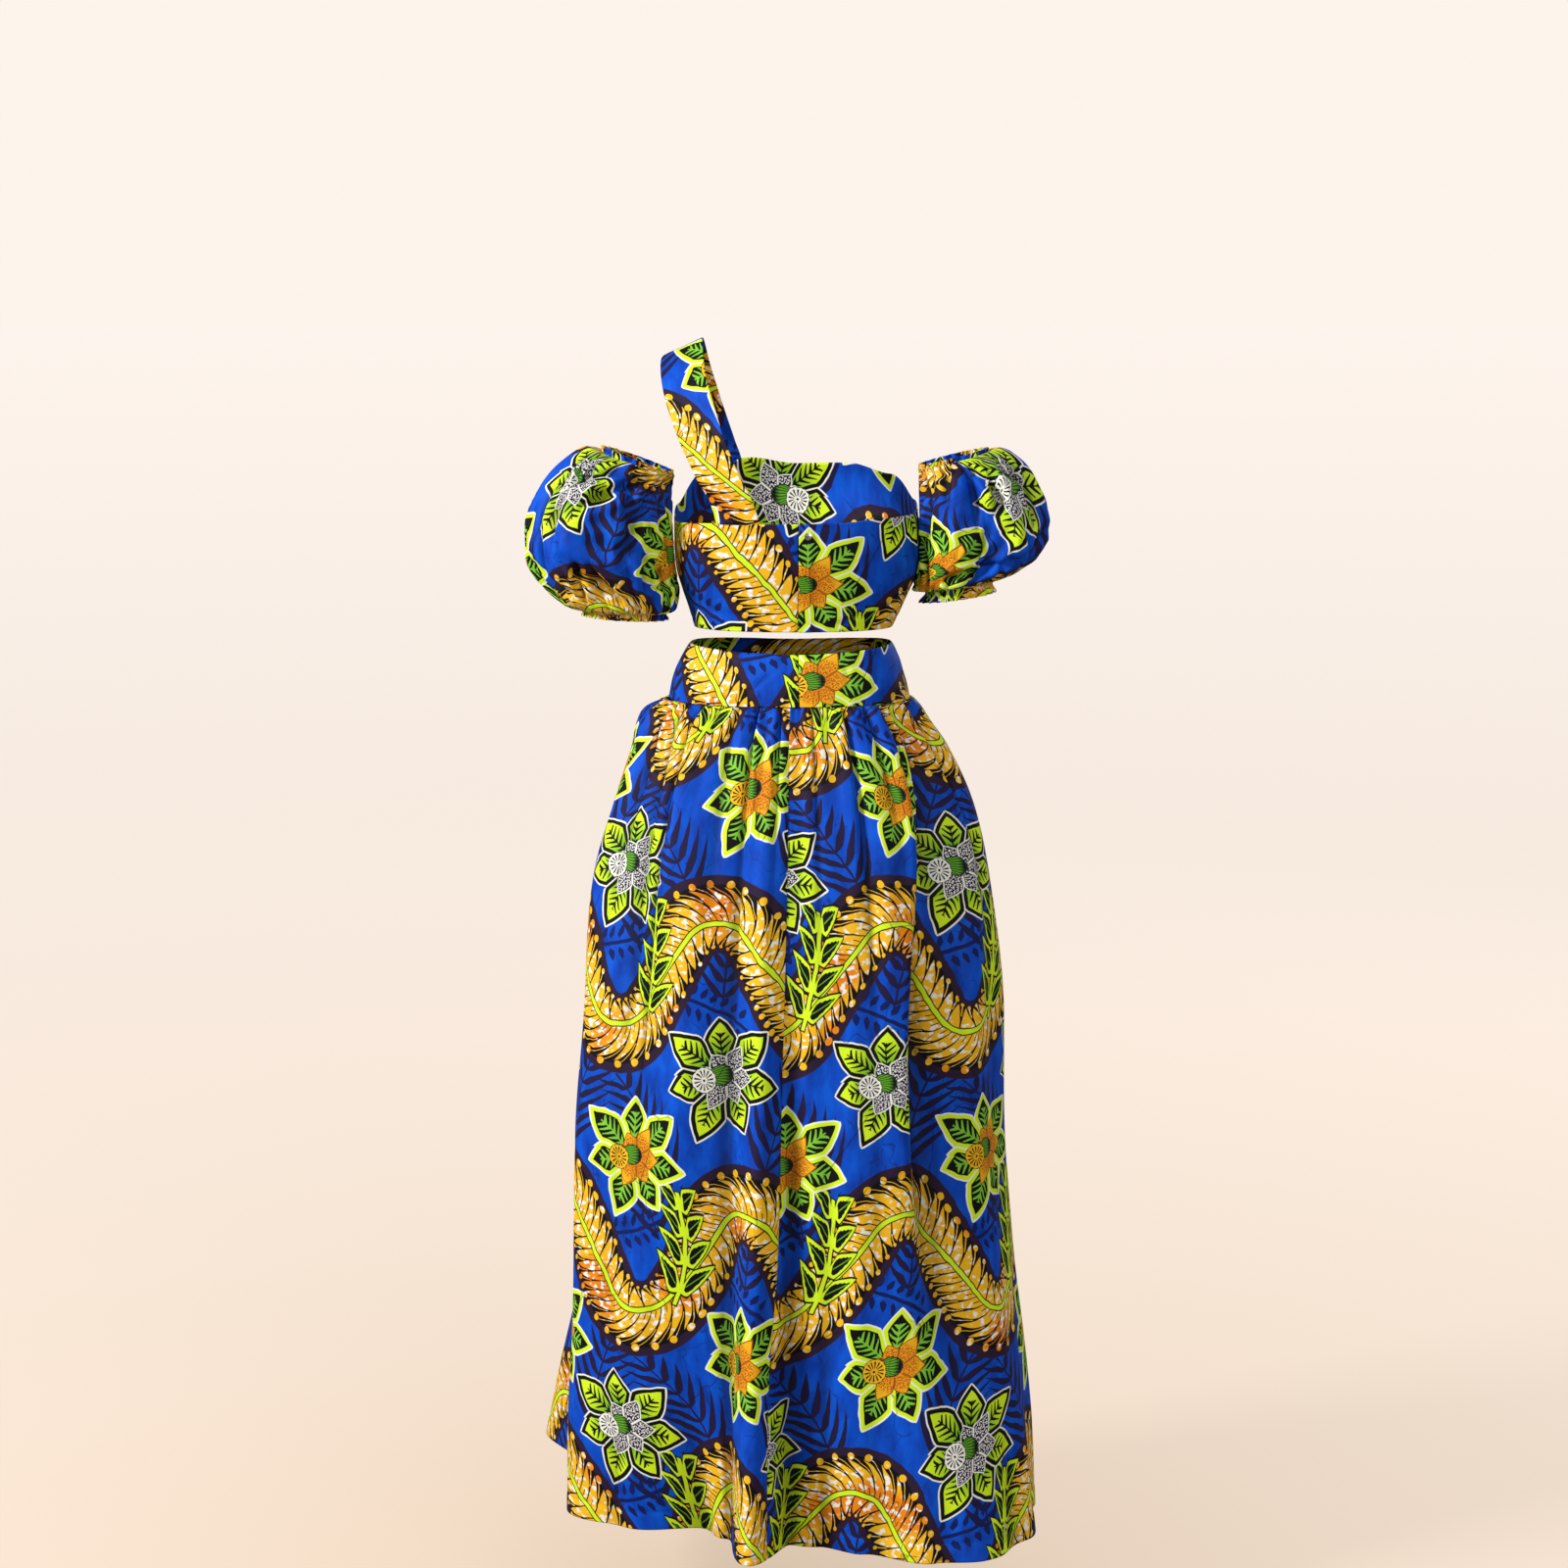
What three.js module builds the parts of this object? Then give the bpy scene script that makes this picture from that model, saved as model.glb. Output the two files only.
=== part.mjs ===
// One-shoulder two-piece dress: a cropped bodice held by one strap over the wearer's left
// shoulder, two elasticated puff sleeves on the upper arms, and a long skirt gathered onto a
// shaped waistband. Millimetres, +Z up. The dress is laid out in the wearer's frame, with X = 0
// on the centre plane (+X to the wearer's left), the front facing -Y and Z counted from the
// floor under the wearer. The outer group then moves it so that the origin is on the underside
// of the strap, where the shoulder carries it.
import * as THREE from "three";

// ---------------------------------------------------------------- driving dimensions
const WALL = 1.4; // thickness of every cloth wall
const SEAM = 0.3; // space left between two pieces that are sewn together
const STRAP_SEAM = 0.6; // the same where a foot of the strap stands on the bodice's curved edge
const SHOULDER = { x: 125, y: -6, z: 1432 }; // where the strap's underside rests
const BODICE_HEM = 1125;
const WAISTBAND = { top: 1104, bottom: 1045, dip: 3 }; // dip: lower at the back than at the sides
const SKIRT_HEM = 120;
const SIDE_SEAM = 90; // degrees from the centre back to each side seam
const CENTRE_BACK = -1.8; // degrees, where the bodice and the waistband open at the back
const BODY_SQUARENESS = 2.3; // exponent of the superellipse of the body's sections
const SKIRT_SQUARENESS = 2.15;
const SLEEVE_CLEARANCE = 1.3; // between a sleeve and the bodice's side that it lies against
const SNAP = { x: -13, z: 1231, radius: 4.1, height: 2.2 };

// Half-widths to the wearer's left and right and depths to the back and front, by height.
const BODICE_SECTIONS = [
  { z: 1125, left: 113, right: 108, back: 84, front: 86 },
  { z: 1145, left: 119, right: 118, back: 86, front: 92 },
  { z: 1165, left: 126, right: 127, back: 89, front: 99 },
  { z: 1190, left: 133, right: 137, back: 94, front: 110 },
  { z: 1220, left: 135, right: 139, back: 99, front: 121 },
  { z: 1250, left: 135, right: 136, back: 102, front: 127 },
  { z: 1280, left: 134, right: 135, back: 103, front: 125 },
  { z: 1312, left: 133, right: 134, back: 102, front: 117 },
];
const WAISTBAND_SECTIONS = [
  { z: 1045, left: 141, right: 127, back: 104, front: 100 },
  { z: 1062, left: 138, right: 123.5, back: 101, front: 97 },
  { z: 1075, left: 134, right: 119.5, back: 97, front: 94 },
  { z: 1090, left: 127, right: 115, back: 92, front: 90 },
  { z: 1108, left: 117, right: 106.5, back: 86, front: 86 },
];
const SKIRT_SECTIONS = [
  { z: 120, left: 280, right: 280, back: 210, front: 205 },
  { z: 225, left: 275, right: 274, back: 207, front: 201 },
  { z: 316, left: 266, right: 264, back: 203, front: 197 },
  { z: 440, left: 257, right: 247, back: 197, front: 191 },
  { z: 565, left: 252, right: 235, back: 190, front: 184 },
  { z: 723, left: 236, right: 230, back: 178, front: 171 },
  { z: 852, left: 222, right: 212, back: 162, front: 156 },
  { z: 929, left: 200, right: 194, back: 147, front: 141 },
  { z: 990, left: 179, right: 166, back: 129, front: 123 },
  { z: 1018, left: 172, right: 147, back: 118, front: 112 },
  { z: 1035, left: 162, right: 136, back: 109, front: 104 },
  { z: 1045, left: 141, right: 127, back: 104, front: 100 },
];

// Height of the bodice's top edge, by degrees from the centre back towards the wearer's left.
const NECKLINE = [
  { at: 0, z: 1244 },
  { at: 40, z: 1244 },
  { at: 80, z: 1242 },
  { at: 105, z: 1258 },
  { at: 132, z: 1294 },
  { at: 155, z: 1306 },
  { at: 180, z: 1299 },
  { at: 208, z: 1300 },
  { at: 232, z: 1289 },
  { at: 256, z: 1263 },
  { at: 278, z: 1252 },
  { at: 310, z: 1249 },
  { at: 335, z: 1245 },
];

// The strap's middle line from its back foot over the shoulder to its front foot, and how far
// its outer edge lies from that line: sideways, forwards and down.
const STRAP_PATH = [
  { x: 64, y: 93, z: 1246, out: 24.5, forward: 8, down: 0 },
  { x: 76, y: 96, z: 1277, out: 24.5, forward: 9, down: 0 },
  { x: 88, y: 94, z: 1301, out: 24.7, forward: 10, down: 0 },
  { x: 101.5, y: 87, z: 1332, out: 25, forward: 10, down: 1 },
  { x: 110, y: 77, z: 1356, out: 24.7, forward: 9, down: 3 },
  { x: 119.5, y: 58, z: 1386, out: 24.2, forward: 7, down: 6 },
  { x: 124.5, y: 37, z: 1410, out: 23.6, forward: 4, down: 9 },
  { x: 126, y: 15, z: 1427.5, out: 23, forward: 1, down: 10.5 },
  { x: 125, y: -6, z: 1433.4, out: 22, forward: 0, down: 10.5 },
  { x: 123, y: -27, z: 1427, out: 22, forward: -2, down: 10 },
  { x: 118, y: -48, z: 1407, out: 22, forward: -6, down: 7 },
  { x: 109, y: -67, z: 1378, out: 22.3, forward: -9, down: 4 },
  { x: 99, y: -84, z: 1348, out: 22.5, forward: -9, down: 1 },
  { x: 91, y: -97, z: 1325, out: 22.5, forward: -9, down: 0 },
  { x: 85, y: -103, z: 1305, out: 22.5, forward: -9, down: 0 },
];

// The skirt's large folds: a ridge or a valley of the cloth, in mm out from the plain section,
// at five heights. Each lies at the angle `at` below the hip and leans over to the angle `top`
// at the waistband.
const FOLD_HEIGHTS = { waist: 1045, hip: 850, thigh: 640, knee: 430, hem: 120 };
const FOLDS = [
  { at: -162, top: -160, waist: 3, hip: 13, thigh: 19, knee: 25, hem: 24 },
  { at: -140, top: -141, waist: -3, hip: -12, thigh: -17, knee: -22, hem: -38 },
  { at: -116, top: -122, waist: 3, hip: 10, thigh: 14, knee: 18, hem: 24 },
  { at: -97, top: -107, waist: -2, hip: -3, thigh: -5, knee: -6, hem: -12 },
  { at: -76, top: -90, waist: 2, hip: 6, thigh: 6, knee: 4, hem: 2 },
  { at: -58, top: -75, waist: 4, hip: 14, thigh: 14, knee: 12, hem: 46 },
  { at: -43, top: -60, waist: -5, hip: -28, thigh: -30, knee: -6, hem: 66 },
  { at: -33, top: -46, waist: 4, hip: 10, thigh: 14, knee: 18, hem: 46 },
  { at: -20, top: -27, waist: 2, hip: 5, thigh: 8, knee: 10, hem: 0 },
  { at: -8, top: -10, waist: -3, hip: -2, thigh: -4, knee: -12, hem: -30 },
  { at: 2, top: 1, waist: -3, hip: -8, thigh: -14, knee: -22, hem: -34 },
  { at: 12, top: 13, waist: 3, hip: 5, thigh: 8, knee: 16, hem: 34 },
  { at: 26, top: 30, waist: -3, hip: -9, thigh: -12, knee: -24, hem: -46 },
  { at: 40, top: 47, waist: 4, hip: 9, thigh: 8, knee: -12, hem: -72 },
  { at: 57, top: 65, waist: -4, hip: -12, thigh: -10, knee: -12, hem: -32 },
  { at: 72, top: 80, waist: 4, hip: 9, thigh: 8, knee: 2, hem: -10 },
  { at: 90, top: 95, waist: -2, hip: -4, thigh: -8, knee: -18, hem: -30 },
  { at: 108, top: 107, waist: 1, hip: 2, thigh: -8, knee: -14, hem: -10 },
  { at: 128, top: 122, waist: 2, hip: 8, thigh: 22, knee: 56, hem: 120 },
  { at: 147, top: 142, waist: -3, hip: -13, thigh: -20, knee: -20, hem: -4 },
  { at: 165, top: 162, waist: 3, hip: 9, thigh: 12, knee: 15, hem: 34 },
  { at: 181, top: 180, waist: -2, hip: -8, thigh: -10, knee: -11, hem: -16 },
];
// The gathers under the waistband: how many go round, their depth, how far down they fade, and
// by how many degrees of their own wave they are bunched together and spread apart.
const WAIST_GATHERS = { count: 27, depth: 5.2, fade: 62, bunching: 75 };
// Where the skirt's centre-back seam runs, in degrees, by height.
const SKIRT_SEAM = [
  { z: 120, at: 8 },
  { z: 330, at: 7.6 },
  { z: 450, at: 5.6 },
  { z: 640, at: 4.6 },
  { z: 850, at: 3.3 },
  { z: 1045, at: 3.3 },
];

// Each sleeve from its top frill down to its bottom frill: the ring's centre out from the
// centre plane, its height, its half-widths, how far its outer side is raised in degrees, and
// the depths there of the small gathers and of the broad folds between them.
const SLEEVE_GATHERS = 18;
const SLEEVE_DEPTH_CENTRE = 4; // how far behind the centre plane of the arm the puff sits
const LEFT_SLEEVE = [
  { x: 172, z: 1314, rx: 41, ry: 42, tilt: 20, gather: 3.4, fold: 0 },
  { x: 173, z: 1303, rx: 37.5, ry: 38, tilt: 20, gather: 2, fold: 0 },
  { x: 183, z: 1307, rx: 52, ry: 57, tilt: 18, gather: 3.6, fold: 0.3 },
  { x: 200, z: 1291, rx: 63, ry: 74, tilt: 11, gather: 2.6, fold: 0.8 },
  { x: 211, z: 1263, rx: 74, ry: 84, tilt: 4, gather: 1.1, fold: 1 },
  { x: 216, z: 1232, rx: 80, ry: 87, tilt: 0, gather: 0.6, fold: 1 },
  { x: 214, z: 1199, rx: 80, ry: 84, tilt: -2, gather: 1.3, fold: 1 },
  { x: 204, z: 1170, rx: 70, ry: 73, tilt: -3, gather: 3, fold: 0.8 },
  { x: 194, z: 1151, rx: 52, ry: 54, tilt: 2, gather: 3.8, fold: 0.3 },
  { x: 191, z: 1143, rx: 38.5, ry: 39, tilt: 2, gather: 2, fold: 0 },
  { x: 190, z: 1132, rx: 42.5, ry: 43, tilt: 3, gather: 3.6, fold: 0 },
];
const RIGHT_SLEEVE = [
  { x: 172, z: 1317, rx: 38, ry: 40, tilt: 14, gather: 3.2, fold: 0 },
  { x: 173, z: 1306, rx: 35.5, ry: 37, tilt: 14, gather: 2, fold: 0 },
  { x: 181, z: 1310, rx: 46, ry: 54, tilt: 15, gather: 3.6, fold: 0.3 },
  { x: 194, z: 1296, rx: 56, ry: 70, tilt: 9, gather: 2.6, fold: 0.8 },
  { x: 203, z: 1266, rx: 64, ry: 80, tilt: 3, gather: 1.1, fold: 1 },
  { x: 206, z: 1234, rx: 70, ry: 83, tilt: 0, gather: 0.6, fold: 1 },
  { x: 201, z: 1204, rx: 68, ry: 79, tilt: 2, gather: 1.3, fold: 1 },
  { x: 192, z: 1184, rx: 62, ry: 69, tilt: 7, gather: 3, fold: 0.8 },
  { x: 184, z: 1175, rx: 47, ry: 51, tilt: 9, gather: 3.8, fold: 0.3 },
  { x: 182, z: 1170, rx: 36.5, ry: 38, tilt: 9, gather: 2, fold: 0 },
  { x: 180, z: 1157, rx: 41.5, ry: 43, tilt: 8, gather: 3.4, fold: 0 },
];
// The broad folds of a sleeve, in mm out from its ring, by degrees about the arm.
const SLEEVE_FOLDS = [
  { at: 0, depth: 2.5 },
  { at: 34, depth: -3.5 },
  { at: 62, depth: 3 },
  { at: 88, depth: -4 },
  { at: 121, depth: 3.5 },
  { at: 150, depth: -2 },
  { at: 178, depth: 1.5 },
  { at: 207, depth: -2.5 },
  { at: 236, depth: 3.5 },
  { at: 262, depth: -4 },
  { at: 297, depth: 3 },
  { at: 328, depth: -3 },
];

// How finely each piece is divided, along and across.
const MESH = {
  bodiceBack: { across: 13, up: 5 },
  bodiceFront: { across: 26, up: 7 },
  waistbandBack: { across: 12, up: 3 },
  waistbandFront: { across: 24, up: 3 },
  skirtBack: { across: 30 },
  skirtFront: { across: 60 },
  sleeve: { across: SLEEVE_GATHERS * 3 },
  strap: { across: 4, along: 22 },
};
const SKIRT_ROWS = [120, 250, 400, 560, 720, 840, 925, 980, 1012, 1032, 1045 - SEAM];

// ---------------------------------------------------------------- reading the tables
const DEGREE = Math.PI / 180;

// A smooth value of one column between a table's rows, which rise in the column `by`.
function smooth(table, column, by, at) {
  const last = table.length - 1;
  const t = Math.min(Math.max(at, table[0][by]), table[last][by]);
  let i = 0;
  while (i < last - 1 && t > table[i + 1][by]) i += 1;
  const slope = (j) => {
    const a = table[Math.max(j - 1, 0)];
    const b = table[Math.min(j + 1, last)];
    return (b[column] - a[column]) / (b[by] - a[by]);
  };
  const low = table[i];
  const high = table[i + 1];
  const span = high[by] - low[by];
  const s = (t - low[by]) / span;
  const rise = s * s * (3 - 2 * s);
  return (
    low[column] * (1 - rise) +
    high[column] * rise +
    span * slope(i) * s * (1 - s) * (1 - s) -
    span * slope(i + 1) * s * s * (1 - s)
  );
}

// A value between the rows of a table that goes once round, level at each row's angle.
function round(table, angle, valueOf) {
  const first = table[0].at;
  const turn = (((angle - first) % 360) + 360) % 360;
  let i = 0;
  while (i < table.length - 1 && turn >= table[i + 1].at - first) i += 1;
  const low = table[i];
  const high = table[(i + 1) % table.length];
  const span = (((high.at - low.at) % 360) + 360) % 360;
  const s = (turn - (low.at - first)) / span;
  const rise = (1 - Math.cos(Math.PI * s)) / 2;
  return valueOf(low) * (1 - rise) + valueOf(high) * rise;
}

// Distance from the axis to a section's edge, at an angle from the centre back.
function reach(table, squareness, angle, z) {
  const side = Math.sin(angle * DEGREE);
  const depth = Math.cos(angle * DEGREE);
  const width = smooth(table, side > 0 ? "left" : "right", "z", z);
  const length = smooth(table, depth > 0 ? "back" : "front", "z", z);
  const sum =
    Math.abs(side / width) ** squareness + Math.abs(depth / length) ** squareness;
  return sum ** (-1 / squareness);
}

// The point at an angle from the centre back, at a distance from the axis.
function around(angle, distance, z) {
  return new THREE.Vector3(
    distance * Math.sin(angle * DEGREE),
    distance * Math.cos(angle * DEGREE),
    z,
  );
}

// ---------------------------------------------------------------- the cloth's surfaces
const bodyPoint = (angle, z) =>
  around(angle, reach(BODICE_SECTIONS, BODY_SQUARENESS, angle, z), z);

const neckline = (angle) => round(NECKLINE, angle, (row) => row.z);

const bodiceSurface = (angle, share) =>
  bodyPoint(angle, BODICE_HEM + share * (neckline(angle) - BODICE_HEM));

function waistbandSurface(angle, share) {
  const top = WAISTBAND.top - WAISTBAND.dip * Math.cos(2 * angle * DEGREE);
  const z = WAISTBAND.bottom + share * (top - WAISTBAND.bottom);
  return around(angle, reach(WAISTBAND_SECTIONS, BODY_SQUARENESS, angle, z), z);
}

// A fold's depth at a height, from its row of the table.
function foldDepth(row, z) {
  const levels = Object.entries(FOLD_HEIGHTS)
    .map(([name, height]) => ({ height, depth: row[name] }))
    .reverse();
  return smooth(levels, "depth", "height", z);
}

function skirtSurface(column, z) {
  const seam = smooth(SKIRT_SEAM, "at", "z", z);
  const angle = column + (seam * (1 + Math.cos(column * DEGREE))) / 2;
  const plain = reach(SKIRT_SECTIONS, SKIRT_SQUARENESS, angle, z);
  const below = (WAISTBAND.bottom - z) / WAIST_GATHERS.fade;
  const bunched =
    WAIST_GATHERS.count * column +
    WAIST_GATHERS.bunching *
      (Math.sin((3 * column + 40) * DEGREE) + 0.7 * Math.sin((7 * column - 25) * DEGREE));
  const gather =
    WAIST_GATHERS.depth * (0.4 + below) * Math.exp(-below) * Math.cos(bunched * DEGREE);
  const lean = THREE.MathUtils.smoothstep(z, FOLD_HEIGHTS.thigh, FOLD_HEIGHTS.waist);
  const leaning = FOLDS.map((row) => ({ ...row, at: row.at + (row.top - row.at) * lean }));
  const folds = round(leaning, angle, (row) => foldDepth(row, z));
  return around(angle, plain + folds + gather, z);
}

// A sleeve's surface: turn in degrees about the arm from its outer side, place from 0 at the
// top frill to 1 at the bottom one. side is +1 for the wearer's left sleeve, -1 for the right.
function sleeveSurface(table, side, turn, place) {
  const rows = table.map((row, i) => ({ ...row, i }));
  const at = place * (table.length - 1);
  const value = (column) => smooth(rows, column, "i", at);
  const gather = value("gather") * Math.cos(SLEEVE_GATHERS * turn * DEGREE);
  const fold = value("fold") * round(SLEEVE_FOLDS, turn, (row) => row.depth);
  const swell = 1 + (gather + fold) / value("rx");
  const outward = value("rx") * swell * Math.cos(turn * DEGREE);
  const tilt = value("tilt") * DEGREE;
  const point = new THREE.Vector3(
    side * (value("x") + outward * Math.cos(tilt)),
    SLEEVE_DEPTH_CENTRE + value("ry") * swell * Math.sin(turn * DEGREE),
    value("z") + outward * Math.sin(tilt),
  );
  return besideBody(point);
}

// Moves a point out of the bodice's side, so that a sleeve lies against it and not in it.
function besideBody(point) {
  const angle = Math.atan2(point.x, point.y) / DEGREE;
  const body = bodyPoint(angle, point.z);
  const least = Math.hypot(body.x, body.y) + SLEEVE_CLEARANCE;
  const distance = Math.hypot(point.x, point.y);
  return distance < least ? around(angle, least, point.z) : point;
}

// The strap's surface: across from -1 at the edge by the neck to +1 at the edge by the arm, and
// along from 0 at the back foot to 1 at the front foot. Each foot stands on the bodice's top edge.
function strapSurface(across, along) {
  const rows = STRAP_PATH.map((row, i) => ({ ...row, i }));
  const at = along * (rows.length - 1);
  const value = (column) => smooth(rows, column, "i", at);
  const point = new THREE.Vector3(
    value("x") + across * value("out"),
    value("y") - across * value("forward"),
    value("z") - across * value("down"),
  );
  const fromFoot = Math.min(along, 1 - along) * (rows.length - 1);
  const free = THREE.MathUtils.smoothstep(fromFoot, 0, 1.5);
  if (free === 1) return point;
  const angle = Math.atan2(point.x, point.y) / DEGREE;
  const lift = Math.max(point.z - (along < 0.5 ? STRAP_PATH[0].z : STRAP_PATH.at(-1).z), 0);
  const seated = bodyPoint(angle, neckline(angle) + STRAP_SEAM + lift);
  return seated.lerp(point, free);
}

// ---------------------------------------------------------------- cloth walls
// The outward direction of a surface at (a, b). On an edge that meets another piece it is kept
// level, so that the edge's own face stays level too.
function outwardAt(surface, a, b, stepA, stepB, flip, level) {
  const alongA = surface(a + stepA, b).sub(surface(a - stepA, b));
  const alongB = surface(a, b + stepB).sub(surface(a, b - stepB));
  const outward = alongA.cross(alongB).multiplyScalar(flip);
  if (level) outward.z = 0;
  return outward.normalize();
}

// A closed wall of cloth: its outer face runs through surface(a, b) for each a of `columns` and
// b of `rows`, and its inner face lies WALL inside it. A wall that goes all round is joined to
// itself. `trim` draws its two side edges in by half a seam.
function clothWall(surface, columns, rows, { closed = false, flip = 1, level = false, trim = 0 }) {
  const wide = columns.length;
  const tall = rows.length;
  const stepA = Math.abs(columns[1] - columns[0]) / 20;
  const stepB = Math.abs(rows[1] - rows[0]) / 20;
  const positions = [];
  const inner = [];
  columns.forEach((a, i) =>
    rows.forEach((b, j) => {
      const point = surface(a, b);
      if (trim && (i === 0 || i === wide - 1)) {
        const towards = surface(columns[i === 0 ? 1 : wide - 2], b).sub(point).normalize();
        point.addScaledVector(towards, trim);
      }
      const edge = level && (j === 0 || j === tall - 1);
      const outward = outwardAt(surface, a, b, stepA, stepB, flip, edge);
      positions.push(...point.toArray());
      inner.push(...point.addScaledVector(outward, -WALL).toArray());
    }),
  );
  positions.push(...inner);
  const faces = [];
  const quad = (p, q, r, s) => faces.push(p, q, r, p, r, s);
  const outerAt = (i, j) => (i % wide) * tall + j;
  const innerAt = (i, j) => wide * tall + outerAt(i, j);
  const spans = closed ? wide : wide - 1;
  for (let i = 0; i < spans; i += 1) {
    for (let j = 0; j < tall - 1; j += 1) {
      quad(outerAt(i, j), outerAt(i + 1, j), outerAt(i + 1, j + 1), outerAt(i, j + 1));
      quad(innerAt(i, j), innerAt(i, j + 1), innerAt(i + 1, j + 1), innerAt(i + 1, j));
    }
    const top = tall - 1;
    quad(outerAt(i, 0), innerAt(i, 0), innerAt(i + 1, 0), outerAt(i + 1, 0));
    quad(outerAt(i, top), outerAt(i + 1, top), innerAt(i + 1, top), innerAt(i, top));
  }
  if (!closed) {
    for (let j = 0; j < tall - 1; j += 1) {
      quad(outerAt(0, j), outerAt(0, j + 1), innerAt(0, j + 1), innerAt(0, j));
      quad(outerAt(spans, j), innerAt(spans, j), innerAt(spans, j + 1), outerAt(spans, j + 1));
    }
  }
  if (flip < 0) faces.reverse();
  const geometry = new THREE.BufferGeometry();
  geometry.setAttribute("position", new THREE.Float32BufferAttribute(positions, 3));
  geometry.setIndex(faces);
  return geometry;
}

// Evenly spaced values from one number to another, both ends included.
const steps = (from, to, count) =>
  Array.from({ length: count + 1 }, (_, i) => from + ((to - from) * i) / count);

const piece = (name, geometry, colour, roughness = 0.85, metalness = 0) => {
  const material = new THREE.MeshStandardMaterial({ color: colour, roughness, metalness });
  const mesh = new THREE.Mesh(geometry, material);
  mesh.name = name;
  return mesh;
};

const PRINT_BLUE = 0x1440a8;
const PRINT_GOLD = 0xd99a1c;
const SNAP_METAL = 0xb9bcc2;

// ---------------------------------------------------------------- the pieces
const FRONT = { from: SIDE_SEAM, to: 360 - SIDE_SEAM };

function bodice() {
  const { bodiceBack, bodiceFront } = MESH;
  const panel = (name, from, to, mesh) =>
    piece(
      name,
      clothWall(bodiceSurface, steps(from, to, mesh.across), steps(0, 1, mesh.up), {
        flip: -1,
        level: true,
        trim: SEAM / 2,
      }),
      PRINT_BLUE,
    );
  return [
    panel("bodice_back_left", CENTRE_BACK, SIDE_SEAM, bodiceBack),
    panel("bodice_back_right", -SIDE_SEAM, CENTRE_BACK, bodiceBack),
    panel("bodice_front", FRONT.from, FRONT.to, bodiceFront),
  ];
}

function shoulderStrap() {
  const { strap } = MESH;
  const wall = clothWall(strapSurface, steps(-1, 1, strap.across), steps(0, 1, strap.along), {
    flip: -1,
    level: true,
  });
  return piece("shoulder_strap", wall, PRINT_GOLD);
}

// The snap's domed cap, turned about the outward normal of the right back panel.
function backSnap() {
  const { radius, height } = SNAP;
  const profile = [
    [0, 0],
    [radius, 0],
    [radius, height * 0.4],
    [radius * 0.86, height * 0.62],
    [radius * 0.6, height * 0.85],
    [radius * 0.3, height * 0.97],
    [0, height],
  ].map(([r, h]) => new THREE.Vector2(r, h));
  const cap = piece("back_snap", new THREE.LatheGeometry(profile, 20), SNAP_METAL, 0.3, 1);
  const angle = Math.atan2(SNAP.x, BODICE_SECTIONS[4].back) / DEGREE;
  const seat = bodyPoint(angle, SNAP.z);
  const outward = outwardAt(bodyPoint, angle, SNAP.z, 1, 1, -1, false);
  cap.position.copy(seat.addScaledVector(outward, SEAM));
  cap.quaternion.setFromUnitVectors(new THREE.Vector3(0, 1, 0), outward);
  return cap;
}

function waistband() {
  const { waistbandBack, waistbandFront } = MESH;
  const panel = (name, from, to, mesh) =>
    piece(
      name,
      clothWall(waistbandSurface, steps(from, to, mesh.across), steps(0, 1, mesh.up), {
        flip: -1,
        level: true,
        trim: SEAM / 2,
      }),
      PRINT_GOLD,
    );
  return [
    panel("waistband_back_left", CENTRE_BACK, SIDE_SEAM, waistbandBack),
    panel("waistband_back_right", -SIDE_SEAM, CENTRE_BACK, waistbandBack),
    panel("waistband_front", FRONT.from, FRONT.to, waistbandFront),
  ];
}

function skirt() {
  const { skirtBack, skirtFront } = MESH;
  const panel = (name, from, to, mesh) =>
    piece(
      name,
      clothWall(skirtSurface, steps(from, to, mesh.across), SKIRT_ROWS, {
        flip: -1,
        level: true,
        trim: SEAM / 2,
      }),
      PRINT_BLUE,
    );
  return [
    panel("skirt_back_left", 0, SIDE_SEAM, skirtBack),
    panel("skirt_back_right", -SIDE_SEAM, 0, skirtBack),
    panel("skirt_front", FRONT.from, FRONT.to, skirtFront),
  ];
}

function sleeve(name, table, side) {
  const { across } = MESH.sleeve;
  const surface = (turn, place) => sleeveSurface(table, side, turn, place);
  const turns = steps(0, 360, across).slice(0, -1);
  const wall = clothWall(surface, turns, steps(0, 1, table.length - 1), {
    closed: true,
    flip: -side,
  });
  return piece(name, wall, PRINT_BLUE);
}

const dress = new THREE.Group();
dress.position.set(-SHOULDER.x, -SHOULDER.y, -SHOULDER.z);
dress.add(
  ...bodice(),
  shoulderStrap(),
  backSnap(),
  sleeve("sleeve_left", LEFT_SLEEVE, 1),
  sleeve("sleeve_right", RIGHT_SLEEVE, -1),
  ...waistband(),
  ...skirt(),
);

const part = new THREE.Group();
part.add(dress);

export default part;
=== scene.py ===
"""Two-piece one-shoulder dress in wax-print cotton.

A cropped bodice on one strap, two elasticated puff sleeves and a long skirt gathered onto a
shaped waistband, all hollow as worn. The cloth's sizes are in millimetres in the wearer's
frame: X = 0 on the centre plane with +X to the wearer's left, the back facing +Y, and Z counted
from the floor. Angles are in degrees from the centre back towards the wearer's left. Meshes are
in metres, in the part's own frame, whose origin is under the shoulder strap.
"""

import logging
import math
from dataclasses import dataclass
from enum import Enum

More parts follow.
